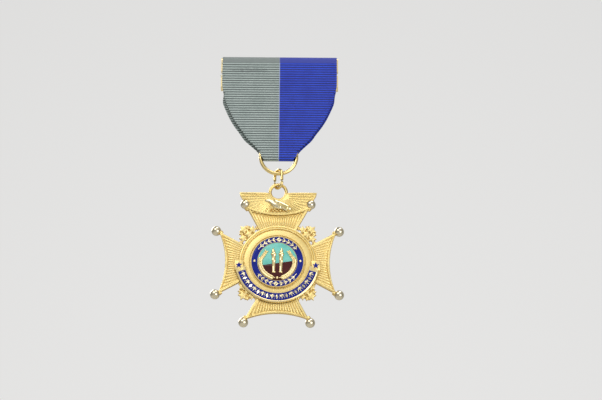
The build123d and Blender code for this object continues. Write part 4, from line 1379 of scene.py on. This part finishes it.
def thread_material(name, colour):
    material, tree, shader = new_material(name, {"Roughness": 0.8, "Sheen Weight": 0.3})
    fuzz = noise(tree, place_of(tree), 4000.0, 3.0)
    tint = mix(tree, fuzz, tuple(c * 0.75 for c in colour), colour)
    feed(tree, shader, Base_Color=tint, Normal=bump(tree, fuzz, 0.4, 0.00003))
    return material


THREAD_PALE = thread_material("pale_thread", (0.62, 0.66, 0.62))
THREAD_DARK = thread_material("tacking_thread", (0.05, 0.06, 0.22))
threads = make_threads()

stitch_low, stitch_high = node_box("drape_stitches")
stitch_z = (stitch_low.z + stitch_high.z) / 2
STITCHES = 9
STITCH_LONG, STITCH_WIDE, STITCH_RISE = 0.9, 0.8, 0.14
stitch_gap = (stitch_high.x - stitch_low.x - STITCH_LONG) / (STITCHES - 1)


def stitch_part():
    """A stitch one millimetre long, both ends going down into the cloth."""
    line = [(-0.5, 0, -0.9), (-0.42, 0, 0.2), (-0.2, 0, 0.85), (0.2, 0, 0.85), (0.42, 0, 0.2), (0.5, 0, -0.9)]
    return Clay().tube(line, 0.16, sides=6)


def behind_drape(p):
    """A point given right, up and out from the back of the drape."""
    x, z, d = p
    return Vector((x, back_y + CLOTH / 2 + d, z)) * MM


stitch_spots = []
for k in range(STITCHES):
    x = stitch_low.x + STITCH_LONG / 2 + stitch_gap * k
    stitch_spots.append(((x, stitch_z, 0.0), 180, (STITCH_LONG, STITCH_WIDE, -STITCH_RISE)))
stitches = repeated("pocket_stitches", stitch_part(), stitch_spots, THREAD_DARK, place=behind_drape)

# ------------------------------------------------------------------ metal parts that keep their own shape
FINISH = {
    "brooch_tray": BRIGHT, "clamp_plate": WIRE, "clamp_rivets": PALE, "hinge_bracket": WIRE,
    "hinge_rivet": PALE, "catch_bracket": WIRE, "pin_stem": STEEL, "catch_lock": WIRE,
    "seal_posts": STRUCK, "banner_posts": STRUCK,
}
for node_name, material in FINISH.items():
    cad = frame["nodes"][node_name]
    cad.data.materials.clear()
    cad.data.materials.append(material)

# ------------------------------------------------------------------ floor
FLOOR_HALF, FLOOR_DROP = 6000, 260.0


def make_room():
    """A wide plain floor, well below the hanging medal."""
    corners = [(x * FLOOR_HALF, y * FLOOR_HALF, 0) for x, y in ((-1, -1), (1, -1), (1, 1), (-1, 1))]
    bench = Clay().add(corners, [(0, 1, 2, 3)])
    level = cad_low.z / MM - FLOOR_DROP
    floor = bench.finish("floor", PLAIN, place=lambda p: Vector((p[0], p[1], level)) * MM)


PLAIN, plain_tree, plain_shader = new_material("pale_plain", {"Roughness": 0.9})
plain_patches = noise(plain_tree, place_of(plain_tree), 3.0)
plain_tint = mix(plain_tree, plain_patches, (0.62, 0.62, 0.61), (0.66, 0.66, 0.65))
feed(plain_tree, plain_shader, Base_Color=plain_tint)
make_room()

# ------------------------------------------------------------------ which piece moves with what
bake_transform(ribbon)
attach(stitches, "drape")
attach(threads, "brooch")
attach(suspension_ring, "ring")
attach(jump_ring, "link")
PENDANT = [
    arms, arm_frames, flutes, disc, post_heads, balls, collars, stars, star_pads, panel, panel_lip, eyelet,
    feathers, *bird_pieces, *seal, *relief, *ring_marks, *banner, *banner_marks,
]
for piece in PENDANT:
    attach(piece, "pendant")

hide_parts("ribbon_wrap", "ribbon_drape")
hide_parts("drape_stitches")
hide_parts("suspension_ring")
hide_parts("jump_ring")
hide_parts("cross_body")
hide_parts("ball_finials")
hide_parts("eagle_badge")
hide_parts("seal_plate")
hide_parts("seal_ring_enamel")
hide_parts("sky_enamel")
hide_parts("ground_enamel")
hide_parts("banner")
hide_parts("banner_enamel")
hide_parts("star_enamels")

ribbon_length * MM
